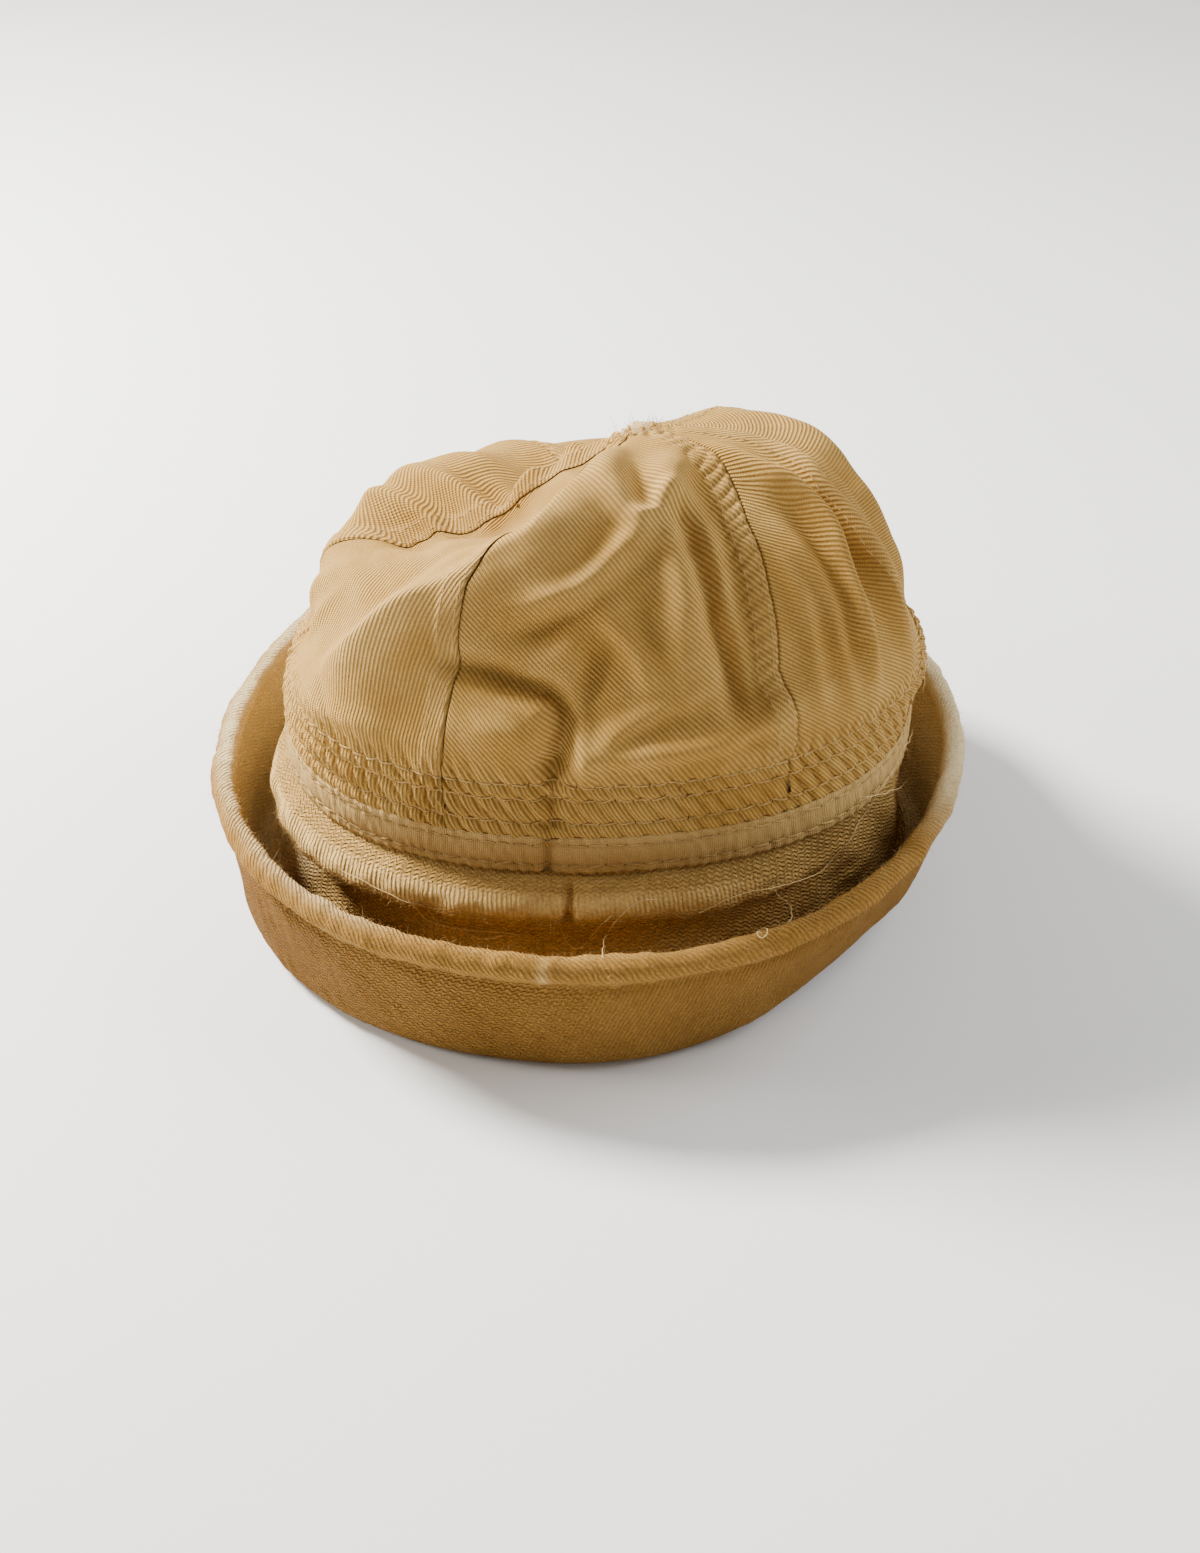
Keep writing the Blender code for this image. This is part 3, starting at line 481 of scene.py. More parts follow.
def crown_base(turn, climb):
    """Point on the outer face of the crown before folds are laid in."""
    back = smooth(-np.cos(np.radians(turn)), BACK_SHAPE_START, BACK_SHAPE_END)
    reach = np.interp(climb, FRONT_CLIMB, FRONT_REACH)
    rise = np.interp(climb, FRONT_CLIMB, FRONT_RISE)
    back_climb = climb * (BACK_CLIMB[-1] / GORE_LENGTH)
    reach = reach + back * (np.interp(back_climb, BACK_CLIMB, BACK_REACH) - reach)
    rise = rise + back * (np.interp(back_climb, BACK_CLIMB, BACK_RISE) - rise)
    x, y = oval(turn, RING_HALF_WIDTH - CLOTH_INSET, RING_FRONT - CLOTH_INSET, RING_BACK - CLOTH_INSET)
    lean = np.sin(0.5 * math.pi * np.clip((rise - BAND_TOP) / (CROWN_HEIGHT - BAND_TOP), 0.0, 1.0))
    px = x * reach + RING_SIDE_SHIFT + CROWN_LEAN_SIDE * lean
    py = y * reach + CROWN_LEAN_BACK * lean
    tilt = RING_SIDE_TILT * x * reach + RING_BACK_TILT * y * reach
    return np.stack([px, py, JOINT_HEIGHT + rise + tilt], -1)


def base_normal(turn, climb):
    """Outward unit normal of the crown before its folds."""
    low = np.maximum(climb - 0.0008, 0.0)
    high = np.minimum(climb + 0.0008, CLIMB_LIMIT)
    along = crown_base(turn + 0.5, climb) - crown_base(turn - 0.5, climb)
    return unit(np.cross(along, crown_base(turn, high) - crown_base(turn, low)))


def fold_line(stations):
    """Points, directions, normals and rises along one fold, through its stations."""
    rows = np.array(stations, float)
    marks = np.arange(len(rows))
    spots = np.linspace(0.0, len(rows) - 1.0, FOLD_STEPS)
    columns = []
    for column in rows.T:
        slope = np.gradient(column)
        index = np.minimum(spots.astype(int), len(rows) - 2)
        part = spots - marks[index]
        ease = part * part * (3.0 - 2.0 * part)
        bend = part * (1.0 - part) ** 2 * slope[index] - part ** 2 * (1.0 - part) * slope[index + 1]
        columns.append(column[index] + ease * (column[index + 1] - column[index]) + bend)
    turn, share, rise = columns
    climb = share * GORE_LENGTH
    points = crown_base(turn, climb)
    return points, unit(np.gradient(points, axis=0)), base_normal(turn, climb), rise * FOLD_SIZE


def nearest_on_line(points, line):
    """Segment of a line nearest to each point, the share along it, and the offset from it."""
    gap = ((points[:, None, :] - line[None, :, :]) ** 2).sum(-1).argmin(1)
    best = None
    for shift in (-1, 0):
        start = np.clip(gap + shift, 0, len(line) - 2)
        run = line[start + 1] - line[start]
        share = ((points - line[start]) * run).sum(-1) / (run ** 2).sum(-1)
        share = np.clip(share, 0.0, 1.0)
        offset = points - line[start] - run * share[:, None]
        square = (offset ** 2).sum(-1)
        if best is None:
            best = [start, share, offset, square]
        else:
            closer = square < best[3]
            for slot, value in enumerate((start, share, offset, square)):
                best[slot][closer] = value[closer]
    return best


def fold_rise(points, folds):
    """How far the folds lift or sink the cloth at points on the base surface."""
    flat = points.reshape(-1, 3)
    total = np.zeros(len(flat))
    for left_width, right_width, stations in folds.values():
        line, ways, normals, rises = fold_line(stations)
        reach = 3.0 * FOLD_SIZE * max(left_width, right_width)
        near = np.all((flat > line.min(0) - reach) & (flat < line.max(0) + reach), axis=1).nonzero()[0]
        if len(near) == 0:
            continue
        start, share, offset, square = nearest_on_line(flat[near], line)
        mix = share[:, None]
        normal = normals[start] * (1.0 - mix) + normals[start + 1] * mix
        way = ways[start] * (1.0 - mix) + ways[start + 1] * mix
        rise = rises[start] * (1.0 - share) + rises[start + 1] * share
        side = (np.cross(normal, way) * offset).sum(-1) / (np.sqrt(square) + 1e-6)
        left = smooth(side, -1.0, 1.0)
        width = FOLD_SIZE * (right_width + (left_width - right_width) * left)
        total[near] += rise * np.exp(-square / width ** 2)
    return total.reshape(points.shape[:-1])


def grid_normals(grid):
    """Outward unit normals of a grid whose rows climb and whose columns run with the turn."""
    along = np.gradient(grid, axis=1)
    up = np.gradient(grid, axis=0)
    return unit(np.cross(along, up))


def seam_turn(seam, share):
    """Turn of a seam at shares of the gore's length."""
    return np.interp(share, SEAM_SHARES, SEAMS[seam])


def pucker(arc, climb):
    """Small upright puckers and the puffs between the stitch rows of the crown's band."""
    tape_top = 0.5 * TAPE_WIDTH
    marks = [tape_top - 0.002] + [tape_top + row for row in BAND_ROWS] + [BAND_TOP + 0.010]
    puff = np.zeros_like(climb)
    shift = np.zeros_like(climb)
    for index, (low, high) in enumerate(zip(marks[:-1], marks[1:])):
        inside = (climb >= low) & (climb < high)
        share = (climb - low) / (high - low)
        if index < len(BAND_ROWS):
            hump = np.sin(math.pi * np.clip(share, 0.0, 1.0))
        else:
            hump = np.exp(-6.0 * share) * 4.0 * share
        puff = np.where(inside, hump, puff)
        shift = np.where(inside, 1.7 * index + 1.2 * share, shift)
    spot = np.stack([arc, climb * 0.5, shift * 0.002], -1)
    phase = 2.0 * math.pi * (arc + PUCKER_SLANT * climb) / PUCKER_PITCH + 1.2 * waves(spot, 0.018, 5) + shift
    size = 0.88 + 0.22 * waves(spot, 0.03, 6)
    ripple = np.sin(phase) + 0.45 * np.sin(2.0 * phase + 0.8) + 0.20 * np.sin(3.1 * phase)
    ripple *= 0.35 + 0.65 * smooth(climb, tape_top - 0.001, tape_top + 0.0035)
    ripple *= 1.0 - smooth(climb, BAND_TOP + 0.002, BAND_TOP + 0.012)
    return PUFF_RISE * puff + PUCKER_RISE * ripple * size * np.sqrt(np.clip(puff, 0.0, 1.0) + 0.05)


def gore_grid(near_seam, far_seam, count):
    """Fine grid of a gore's outer face with its folds, puckers, seam lap and crumples."""
    band_share = (BAND_TOP + 0.004) / GORE_LENGTH
    shares = np.concatenate([
        np.linspace(0.012, band_share, BAND_COURSES, endpoint=False),
        np.linspace(band_share, 1.0 - TIP_RADIUS / GORE_LENGTH, CROWN_COURSES)])
    across = np.linspace(0.0, 1.0, count)
    across -= EDGE_CROWDING * np.sin(2.0 * math.pi * across) / (2.0 * math.pi)
    share, spread = np.meshgrid(shares, across, indexing="ij")
    near = seam_turn(near_seam, share)
    turn = near + ((seam_turn(far_seam, share) - near) % 360) * spread
    climb = share * GORE_LENGTH
    base = crown_base(turn, climb)
    normal = base_normal(turn, climb)
    free = smooth(climb, 0.5 * TAPE_WIDTH, BAND_TOP)
    tip = 1.0 - smooth(climb, GORE_LENGTH - TIP_EASE, GORE_LENGTH)
    fine = smooth(climb, 0.4 * TAPE_WIDTH, 0.7 * TAPE_WIDTH)
    rise = fold_rise(base, FOLDS) * free * tip + fold_rise(base, FINE_FOLDS) * fine * tip
    grid = base + normal * rise[..., None]
    normal = grid_normals(grid)
    # distance from each seam along the cloth, and along the cloth before its folds
    to_near = run_along(grid)
    to_far = to_near[:, -1:] - to_near
    flat_run = run_along(base)
    above = smooth(climb, BAND_TOP - 0.006, BAND_TOP + 0.004) * (1.0 - smooth(share, 0.90, 0.98))
    lap = LAP_RISE * above * (1.0 - smooth(to_far, LAP_WIDTH - 0.0016, LAP_WIDTH + 0.0004))
    pinch = np.sin(2.0 * math.pi * (climb + 0.5 * to_far) / LAP_PINCH_PITCH + 1.6 * waves(grid, 0.012, 9))
    pinch = SEAM_PINCH[far_seam] * LAP_PINCH * above * (0.6 * pinch - 0.4 * pinch ** 2)
    pinch *= 1.0 - smooth(to_far, LAP_WIDTH - 0.001, LAP_WIDTH + 0.003)
    groove = GROOVE_DEPTH * (bell(to_near, 0.0, GROOVE_WIDTH) + bell(to_far, 0.0, GROOVE_WIDTH))
    groove *= 0.25 + 0.75 * smooth(climb, BAND_TOP - 0.010, BAND_TOP + 0.002)
    if "left" in (near_seam, far_seam):
        groove *= 1.0 - 0.8 * smooth(share, 0.42, 0.56)
    radius = np.hypot(*oval(turn, RING_HALF_WIDTH, RING_FRONT, RING_BACK))
    arc = np.radians(turn) * radius.mean()
    # the outline seen from the front stays calm
    detail = lap + pinch - groove + pucker(arc, climb) * (1.0 - 0.8 * bell(turn, 90.0, 16.0))
    detail += free * tip * (0.00022 * waves(grid, 0.026, 1) + 0.00006 * waves(grid, 0.009, 2))
    crossing = smooth(share, 0.90, 0.965)
    detail += crossing * (0.0006 * waves(grid, 0.0048, 3) + 0.0003 * waves(grid, 0.0022, 4))
    return {
        "points": grid + normal * detail[..., None], "across": flat_run - 0.5 * flat_run[:, -1:],
        "to_near": to_near, "to_far": to_far, "above": above, "rise": rise, "share": share, "climb": climb,
    }


def around(column, turn):
    """Value of a brim column at a turn, eased between its stations."""
    turns = [row[0] for row in BRIM_STATIONS]
    values = [row[column] for row in BRIM_STATIONS]
    eased = np.zeros(len(turn))
    shifts = np.linspace(-STATION_EASE, STATION_EASE, EASE_STEPS)
    weights = np.cos(0.4 * math.pi * shifts / STATION_EASE)
    for shift, weight in zip(shifts, weights):
        eased += weight * np.interp(turn + shift, turns, values, period=360)
    return eased / weights.sum()


def ring_frame(turn):
    """Tape ring points at z = 0, way out to the rim, span to the rim, and ring tilt."""
    x, y = oval(turn, RING_HALF_WIDTH, RING_FRONT, RING_BACK)
    level = np.zeros_like(x)
    ring = np.stack([x + RING_SIDE_SHIFT, y, level], -1)
    rim_x, rim_y = oval(turn, RIM_HALF_WIDTH, RIM_FRONT, RIM_BACK)
    rim = np.stack([rim_x, rim_y, level], -1) * around(5, turn)[:, None]
    span = np.linalg.norm(rim - ring, axis=-1)
    return ring, (rim - ring) / span[:, None], span, RING_SIDE_TILT * x + RING_BACK_TILT * y


def loft(turn, section):
    """Points of a ring whose section is a list of (reach, height) columns, turn by turn."""
    ring, way, _, _ = ring_frame(turn)
    up = np.array([0.0, 0.0, 1.0])
    rows = [ring + way * reach[:, None] + up * height[:, None] for reach, height in section]
    return np.stack(rows, 1)


def between(marks, spots):
    """Index of the mark before each spot, and the share of the way to the next mark."""
    index = np.clip(np.searchsorted(marks, spots, side="right") - 1, 0, len(marks) - 2)
    return index, ((spots - marks[index]) / (marks[index + 1] - marks[index]))[None, :, None]


def refine(columns, steps):
    """Smooth curve through section columns, evenly spaced along its mean length."""
    points = np.stack([np.stack(pair, -1) for pair in columns], 1)
    lengths = np.linalg.norm(np.diff(points, axis=1), axis=-1).mean(0)
    marks = running(np.sqrt(lengths))
    spots = np.linspace(0.0, marks[-1], 12 * len(columns))
    before = 2 * points[:, :1] - points[:, 1:2]
    after = 2 * points[:, -1:] - points[:, -2:-1]
    padded = np.concatenate([before, points, after], 1)
    index, part = between(marks, spots)
    a, b, c, d = (padded[:, index + shift] for shift in range(4))
    curve = 0.5 * (2 * b + (c - a) * part + (2 * a - 5 * b + 4 * c - d) * part ** 2
                   + (3 * b - a - 3 * c + d) * part ** 3)
    lengths = np.linalg.norm(np.diff(curve, axis=1), axis=-1).mean(0)
    marks = running(lengths)
    spots = np.linspace(0.0, marks[-1], steps)
    index, part = between(marks, spots)
    even = curve[:, index] * (1.0 - part) + curve[:, index + 1] * part
    return [(even[:, row, 0], even[:, row, 1]) for row in range(steps)]


def brim_values(turn):
    """Columns of numbers that the brim's sections share."""
    _, _, span, tilt = ring_frame(turn)
    fold = FOLD_REACH * around(1, turn)
    lift = FOLD_LIFT * around(2, turn)
    skin = np.full(len(turn), -CLOTH_INSET)
    return {
        "span": span, "fold": fold, "lift": lift, "rim": RIM_HEIGHT * around(3, turn),
        "ridge": around(4, turn), "tape": TAPE_LOW + tilt, "joint": JOINT_HEIGHT + tilt - CLEARANCE,
        "skin": skin, "foot": fold - 2.0 * BRIM_WALL - FOLD_ROUND, "floor": lift + BRIM_WALL,
    }


def inner_wall_section(brim):
    """Outer face of the brim's inner wall, from the tape over the ridge to the trough."""
    skin, tape, foot, floor, ridge = (brim[key] for key in ("skin", "tape", "foot", "floor", "ridge"))
    fall = tape - floor
    section = [(skin, brim["joint"]), (skin, tape)]
    for down, out in RIDGE_SHAPE:
        depth = RIDGE_DROP * down
        slack = np.interp(depth / fall, [0.0, WALL_SHAPE[0][0], 1.0], [0.0, WALL_SHAPE[0][1], 1.0])
        section.append((skin + slack * (foot - skin) + ridge * RIDGE_REACH * out, tape - depth))
    for down, out in WALL_SHAPE:
        section.append((skin + out * (foot - skin), tape - down * fall))
    section.append((foot + TROUGH_OUT * FOLD_ROUND, floor + TROUGH_RISE * FOLD_ROUND))
    return section


def outer_wall_section(brim):
    """The brim's outer wall: its inner face, the rolled rim and its creased outer face."""
    fold, lift, span, rim = (brim[key] for key in ("fold", "lift", "span", "rim"))
    foot, floor = brim["foot"], brim["floor"]
    inside = fold - BRIM_WALL
    start = lift + BRIM_WALL + TROUGH_WALL_RISE * FOLD_ROUND
    neck = rim - RIM_ROLL
    bend = OUTER_WALL_BEND
    section = [(foot + TROUGH_OUT * FOLD_ROUND, floor + TROUGH_RISE * FOLD_ROUND), (inside, start)]
    section.append((inside + bend * (span - inside), start + bend * (neck - start)))
    section.append((span + ROLL_INSET * RIM_ROLL, neck - ROLL_NECK_DROP * RIM_ROLL))
    for angle in np.radians(ROLL_ANGLES):
        out = span + 0.5 * RIM_ROLL * (1.0 + math.cos(angle))
        section.append((out, rim + 0.5 * RIM_ROLL * (math.sin(angle) - 1.0)))
    top = span + ROLL_INSET * RIM_ROLL + BRIM_WALL
    slope = (top - fold) / (rim - lift)
    section.append((top - slope * RIM_CREASE_DROP - RIM_CREASE_DEPTH, rim - RIM_CREASE_DROP))
    end = CREASE_END * RIM_CREASE_DROP
    section.append((top - slope * end, rim - end))
    section.append((fold + OUTER_FACE_REACH * (top - fold), lift + OUTER_FACE_RISE * (rim - lift)))
    section.append((fold, lift + FOLD_ROUND))
    section.append((fold - CORNER_IN * FOLD_ROUND, lift + CORNER_RISE * FOLD_ROUND))
    section.append((fold - FOLD_ROUND, lift))
    section.append((fold - FOLD_ROUND - FOLD_FLAT, lift))
    return section


def head_side_section(brim):
    """Head side of the inner wall, from the bottom fold back up to the joint."""
    skin, tape, foot, floor = (brim[key] for key in ("skin", "tape", "foot", "floor"))
    inner = skin - BRIM_WALL
    section = [(brim["fold"] - FOLD_ROUND - FOLD_FLAT, brim["lift"])]
    for down, out in reversed(WALL_SHAPE[:-1]):
        section.append((inner + out * (foot - skin), tape - down * (tape - floor)))
    section.append((inner, tape))
    section.append((inner, brim["joint"]))
    return section


# Meshes

def make_mesh(name, points, faces, material, cloth=None, bake=None, shades=None):
    """One smooth mesh object that rides with the cap, with its cloth map in millimetres."""
    mesh = bpy.data.meshes.new(name)
    faces = np.asarray(faces, np.int32)
    corners = faces.shape[1]
    mesh.vertices.add(len(points))
    mesh.vertices.foreach_set("co", np.asarray(points, np.float32).ravel())
    mesh.loops.add(faces.size)
    mesh.loops.foreach_set("vertex_index", faces.ravel())
    mesh.polygons.add(len(faces))
    mesh.polygons.foreach_set("loop_start", np.arange(0, faces.size, corners, dtype=np.int32))
    mesh.update(calc_edges=True)
    mesh.validate()
    mesh.shade_smooth()
    for layer_name, spots in (("OFBake", bake), ("cloth", cloth)):
        if spots is not None:
            layer = mesh.uv_layers.new(name=layer_name)
            layer.data.foreach_set("uv", np.asarray(spots, np.float32)[faces.ravel()].ravel())
    for key, values in (shades or {}).items():
        attribute = mesh.attributes.new(key, "FLOAT", "POINT")
        attribute.data.foreach_set("value", np.asarray(values, np.float32).ravel())
    piece = bpy.data.objects.new(name, mesh)
    bpy.context.scene.collection.objects.link(piece)
    mesh.materials.append(material)
    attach(piece, "root")
    return piece


def grid_faces(rows, columns, closed=False):
    """Quads of a grid, with its columns closed into a ring if asked."""
    row, column = np.meshgrid(np.arange(rows - 1), np.arange(columns - (not closed)), indexing="ij")
    after = (column + 1) % columns
    here = row * columns
    above = here + columns
    return np.stack([here + column, here + after, above + after, above + column], -1).reshape(-1, 4)


def tubes(paths, radii, sides=5):
    """Closed little tubes along paths of equal point count: points and quads."""
    paths = np.asarray(paths, float)
    count, steps, _ = paths.shape
    way = unit(np.gradient(paths, axis=1))
    helper = np.where(np.abs(way[..., 2:]) < 0.8, np.array([0.0, 0.0, 1.0]), np.array([1.0, 0.0, 0.0]))
    side = unit(np.cross(way, helper))
    over = np.cross(side, way)
    angle = np.arange(sides) * 2.0 * math.pi / sides
    ring = side[..., None, :] * np.cos(angle)[:, None] + over[..., None, :] * np.sin(angle)[:, None]
    points = paths[..., None, :] + ring * np.asarray(radii).reshape(-1, steps, 1, 1)
    step, slot = np.meshgrid(np.arange(steps - 1), np.arange(sides), indexing="ij")
    after = (slot + 1) % sides
    quad = np.stack([step * sides + after, step * sides + slot, (step + 1) * sides + slot,
                     (step + 1) * sides + after], -1).reshape(-1, 4)
    faces = (np.arange(count)[:, None, None] * steps * sides + quad[None]).reshape(-1, 4)
    return points.reshape(-1, 3), faces


def even_spots(line, step):
    """Fractional indices that are evenly spaced along a line."""
    lengths = run_along(line)
    count = max(int(round(lengths[-1] / step)), 2)
    spots = np.linspace(0.0, lengths[-1], count + 1)
    return np.interp(spots, lengths, np.arange(len(line)))


def along_line(values, spots):
    """Rows of an array at fractional indices."""
    index = np.clip(spots.astype(int), 0, len(values) - 2)
    part = (spots - index)[..., None]
    return values[index] * (1.0 - part) + values[index + 1] * part


def stitches(line, normals, pitch, fill, radius, sway, seed, lift=0.0001):
    """Thread tubes of a stitch row that dip into the cloth at both ends of each stitch."""
    dice = np.random.default_rng(seed)
    spots = even_spots(line, pitch)
    starts, ends = spots[:-1], spots[1:]
    steps = 9
    share = np.linspace(0.5 - 0.5 * fill, 0.5 + 0.5 * fill, steps)
    marks = starts[:, None] + (ends - starts)[:, None] * share
    points = along_line(line, marks)
    normal = unit(along_line(normals, marks))
    way = unit(points[:, -1:] - points[:, :1])
    side = np.cross(normal, way)
    arch = np.sin(math.pi * np.linspace(0.0, 1.0, steps)) ** 0.6
    height = lift + radius * (1.5 * arch - 1.1)
    shift = dice.normal(0.0, sway, (len(points), 1, 1)) * np.linspace(-1.0, 1.0, steps)[None, :, None]
    paths = points + normal * height[None, :, None] + side * shift
    return tubes(paths, np.full((len(paths), steps), radius))


def stitch_hole_shade(line, normals, pitch):
    """Short dark dashes across a stitch row where its stitches meet: painted shade in the needle holes."""
    spots = even_spots(line, pitch)[1:-1]
    points = along_line(line, spots)
    normal = unit(along_line(normals, spots))
    way = unit(along_line(line, np.minimum(spots + 0.5, len(line) - 1.0)) - along_line(line, spots - 0.5))
    side = np.cross(normal, way)
    share = np.array([-1.0, 0.0, 1.0])[None, :, None]
    paths = points[:, None, :] + side[:, None, :] * 0.00055 * share + way[:, None, :] * 0.00012 * share
    radius = np.broadcast_to(np.array([0.00008, 0.00022, 0.00008]), (len(paths), 3))
    return tubes(paths, radius, 4)


def join(parts):
    """Several (points, faces) brought together."""
    points, faces, offset = [], [], 0
    for some_points, some_faces in parts:
        points.append(some_points)
        faces.append(some_faces + offset)
        offset += len(some_points)
    return np.concatenate(points), np.concatenate(faces)


def fibres(roots, normals, lengths, radius, seed, curl, lean=0.0):
    """Short loose fibres growing from roots, each bent its own way."""
    dice = np.random.default_rng(seed)
    count = len(roots)
    way = unit(normals + dice.normal(0.0, 0.55, (count, 3)) + lean)
    bend = dice.normal(0.0, curl, (count, 3))
    share = np.linspace(0.0, 1.0, FIBRE_STEPS)[None, :, None]
    length = lengths[:, None, None]
    paths = roots[:, None, :] + length * (way[:, None, :] * share + 0.5 * bend[:, None, :] * share ** 2)
    radii = np.broadcast_to(radius * (1.0 - 0.6 * share[..., 0]), (count, FIBRE_STEPS))
    return tubes(paths, radii, FIBRE_SIDES)


# Materials

class Shader:
    """Short calls for building a node material."""

    def __init__(self, name):
        self.material = bpy.data.materials.new(name)
        self.material.use_nodes = True
        self.tree = self.material.node_tree
        self.out = self.tree.nodes["Principled BSDF"]
        self.out.inputs["Metallic"].default_value = 0.0
        self.out.inputs["Specular IOR Level"].default_value = 0.15

    def node(self, kind, **settings):
        made = self.tree.nodes.new(kind)
        for key, value in settings.items():
            setattr(made, key, value)
        return made

    def feed(self, socket, value):
        if isinstance(value, bpy.types.NodeSocket):
            self.tree.links.new(value, socket)
        elif isinstance(value, tuple) and len(value) == 3 and socket.type == "RGBA":
            socket.default_value = (*value, 1.0)
        else:
            socket.default_value = value

    def math(self, operation, first, second=0.0, third=0.0, clamp=False):
        made = self.node("ShaderNodeMath", operation=operation, use_clamp=clamp)
        for socket, value in zip(made.inputs, (first, second, third)):
            self.feed(socket, value)
        return made.outputs[0]

    def times(self, first, second, clamp=False):
        return self.math("MULTIPLY", first, second, clamp=clamp)

    def mix(self, share, first, second, blend="MIX"):
        made = self.node("ShaderNodeMix", data_type="RGBA", blend_type=blend)
        self.feed(made.inputs[0], share)
        self.feed(made.inputs[6], first)
        self.feed(made.inputs[7], second)
        return made.outputs[2]

    def ramp(self, value, low, high, to_low=0.0, to_high=1.0):
        made = self.node("ShaderNodeMapRange", interpolation_type="SMOOTHSTEP")
        for socket, item in zip(made.inputs, (value, low, high, to_low, to_high)):
            self.feed(socket, item)
        return made.outputs[0]

    def noise(self, vector, scale, detail=3.0, rough=0.55):
        made = self.node("ShaderNodeTexNoise")
        self.feed(made.inputs["Vector"], vector)
        self.feed(made.inputs["Scale"], scale)
        self.feed(made.inputs["Detail"], detail)
        self.feed(made.inputs["Roughness"], rough)
        return made.outputs["Fac"]

    def cloth(self):
        """Cloth map across and along, in millimetres."""
        made = self.node("ShaderNodeUVMap", uv_map="cloth")
        split = self.node("ShaderNodeSeparateXYZ")
        self.tree.links.new(made.outputs[0], split.inputs[0])
        return made.outputs[0], split.outputs[0], split.outputs[1]

    def place(self):
        """Place on the object, in metres."""
        return self.node("ShaderNodeTexCoord").outputs["Object"]

    def value(self, name):
        """A value that the mesh carries."""
        return self.node("ShaderNodeAttribute", attribute_name=name).outputs["Fac"]

    def finish(self, colour, rough, height, distance):
        """Join colour, roughness and relief to the shader."""
        bump = self.node("ShaderNodeBump")
        bump.inputs["Strength"].default_value = 1.0
        bump.inputs["Distance"].default_value = distance
        self.feed(bump.inputs["Height"], height)
        self.tree.links.new(bump.outputs[0], self.out.inputs["Normal"])
        self.feed(self.out.inputs["Base Color"], colour)
        self.feed(self.out.inputs["Roughness"], rough)
        return self.material


def line_wave(s, across, along, angle, pitch, wobble):
    """Rounded ridges at an angle, one each pitch in millimetres, bent by a wobble."""
    slant = math.radians(angle)
    first = s.times(across, math.sin(slant) * 2.0 * math.pi / pitch)
    second = s.math("MULTIPLY_ADD", along, math.cos(slant) * 2.0 * math.pi / pitch, first)
    wave = s.math("SINE", s.math("ADD", second, wobble))
    return s.math("MULTIPLY_ADD", wave, 0.5, 0.5)


def stains(s, place):
    """Uneven fading and stains: a value about 0.5."""
    broad = s.noise(place, 22.0, 3.0, 0.6)
    return s.math("MULTIPLY_ADD", s.noise(place, 75.0, 2.0, 0.6), 0.4, s.times(broad, 0.6))


def twill_material(name, angle, band_angle):
    """Faded cotton twill: slanted wales crossed by fine yarn, stained, pale on its folds (wear and painted
    highlight), with painted shade at seams and stitch rows.
    """
    s = Shader(name)
    vector, across, along = s.cloth()
    place = s.place()
    wobble = s.times(s.noise(vector, 0.07, 2.0), 2.0)
    wale = line_wave(s, across, along, angle, TWILL_PITCH, wobble)
    band_wale = line_wave(s, across, along, band_angle, TWILL_PITCH, s.times(wobble, 0.5))
    wale = s.mix(s.value("band"), wale, band_wale)
    yarn = line_wave(s, across, along, angle + 72.0, 0.48, s.times(s.noise(vector, 0.9, 1.0), 4.0))
    grain = s.noise(vector, 2.6, 2.0, 0.7)
    height = s.math("MULTIPLY_ADD", yarn, 0.35, wale)
    height = s.math("MULTIPLY_ADD", grain, 0.55, height)
    stain = stains(s, place)
    wear_and_painted_light = s.value("wear_and_painted_light")
    shade_and_dirt = s.value("shade_and_dirt")
    tone = s.ramp(stain, 0.34, 0.66)
    colour = s.mix(tone, TWILL_MID, TWILL_LIGHT)
    colour = s.mix(s.times(s.math("SUBTRACT", 1.0, wale), 0.80), colour, TWILL_DARK)
    # Paler on fold crests: wear and painted highlight
    colour = s.mix(s.times(wear_and_painted_light, 0.55, clamp=True), colour, TWILL_WEAR_AND_PAINTED_LIGHT)
    # Painted shade along the seams and stitch rows, with some dirt in the seams
    colour = s.mix(s.times(shade_and_dirt, 0.85, clamp=True), colour, DIRT_AND_SHADE)
    speck = s.ramp(s.noise(vector, 1.4, 3.0, 0.7), 0.30, 0.70, 0.90, 1.10)
    colour = s.mix(1.0, colour, speck, "MULTIPLY")
    return s.finish(colour, s.ramp(grain, 0.3, 0.7, 0.86, 0.98), height, 0.00032)


def tape_material():
    """Plain-weave cotton tape."""
    s = Shader("tape_cotton")
    vector, across, along = s.cloth()
    wobble = s.times(s.noise(vector, 0.3, 2.0), 3.0)
    warp = line_wave(s, across, along, 90.0, 0.62, wobble)
    weft = line_wave(s, across, along, 0.0, 0.55, wobble)
    grain = s.noise(vector, 2.2, 2.0, 0.7)
    height = s.math("MULTIPLY_ADD", grain, 0.8, s.math("ADD", warp, weft))
    colour = s.mix(s.ramp(stains(s, s.place()), 0.36, 0.64), TAPE_MID, TAPE_LIGHT)
    thin = s.times(s.math("SUBTRACT", 1.0, s.times(warp, weft)), 0.45)
    colour = s.mix(thin, colour, TAPE_DARK)
    # Painted shade along the stitch rows and in the crease
    colour = s.mix(s.times(s.value("shade_and_dirt"), 0.8, clamp=True), colour, DIRT_AND_SHADE)
    colour = s.mix(s.times(s.value("wear_and_painted_light"), 0.5, clamp=True), colour, TAPE_WORN)
    return s.finish(colour, s.ramp(grain, 0.3, 0.7, 0.86, 0.98), height, 0.00018)


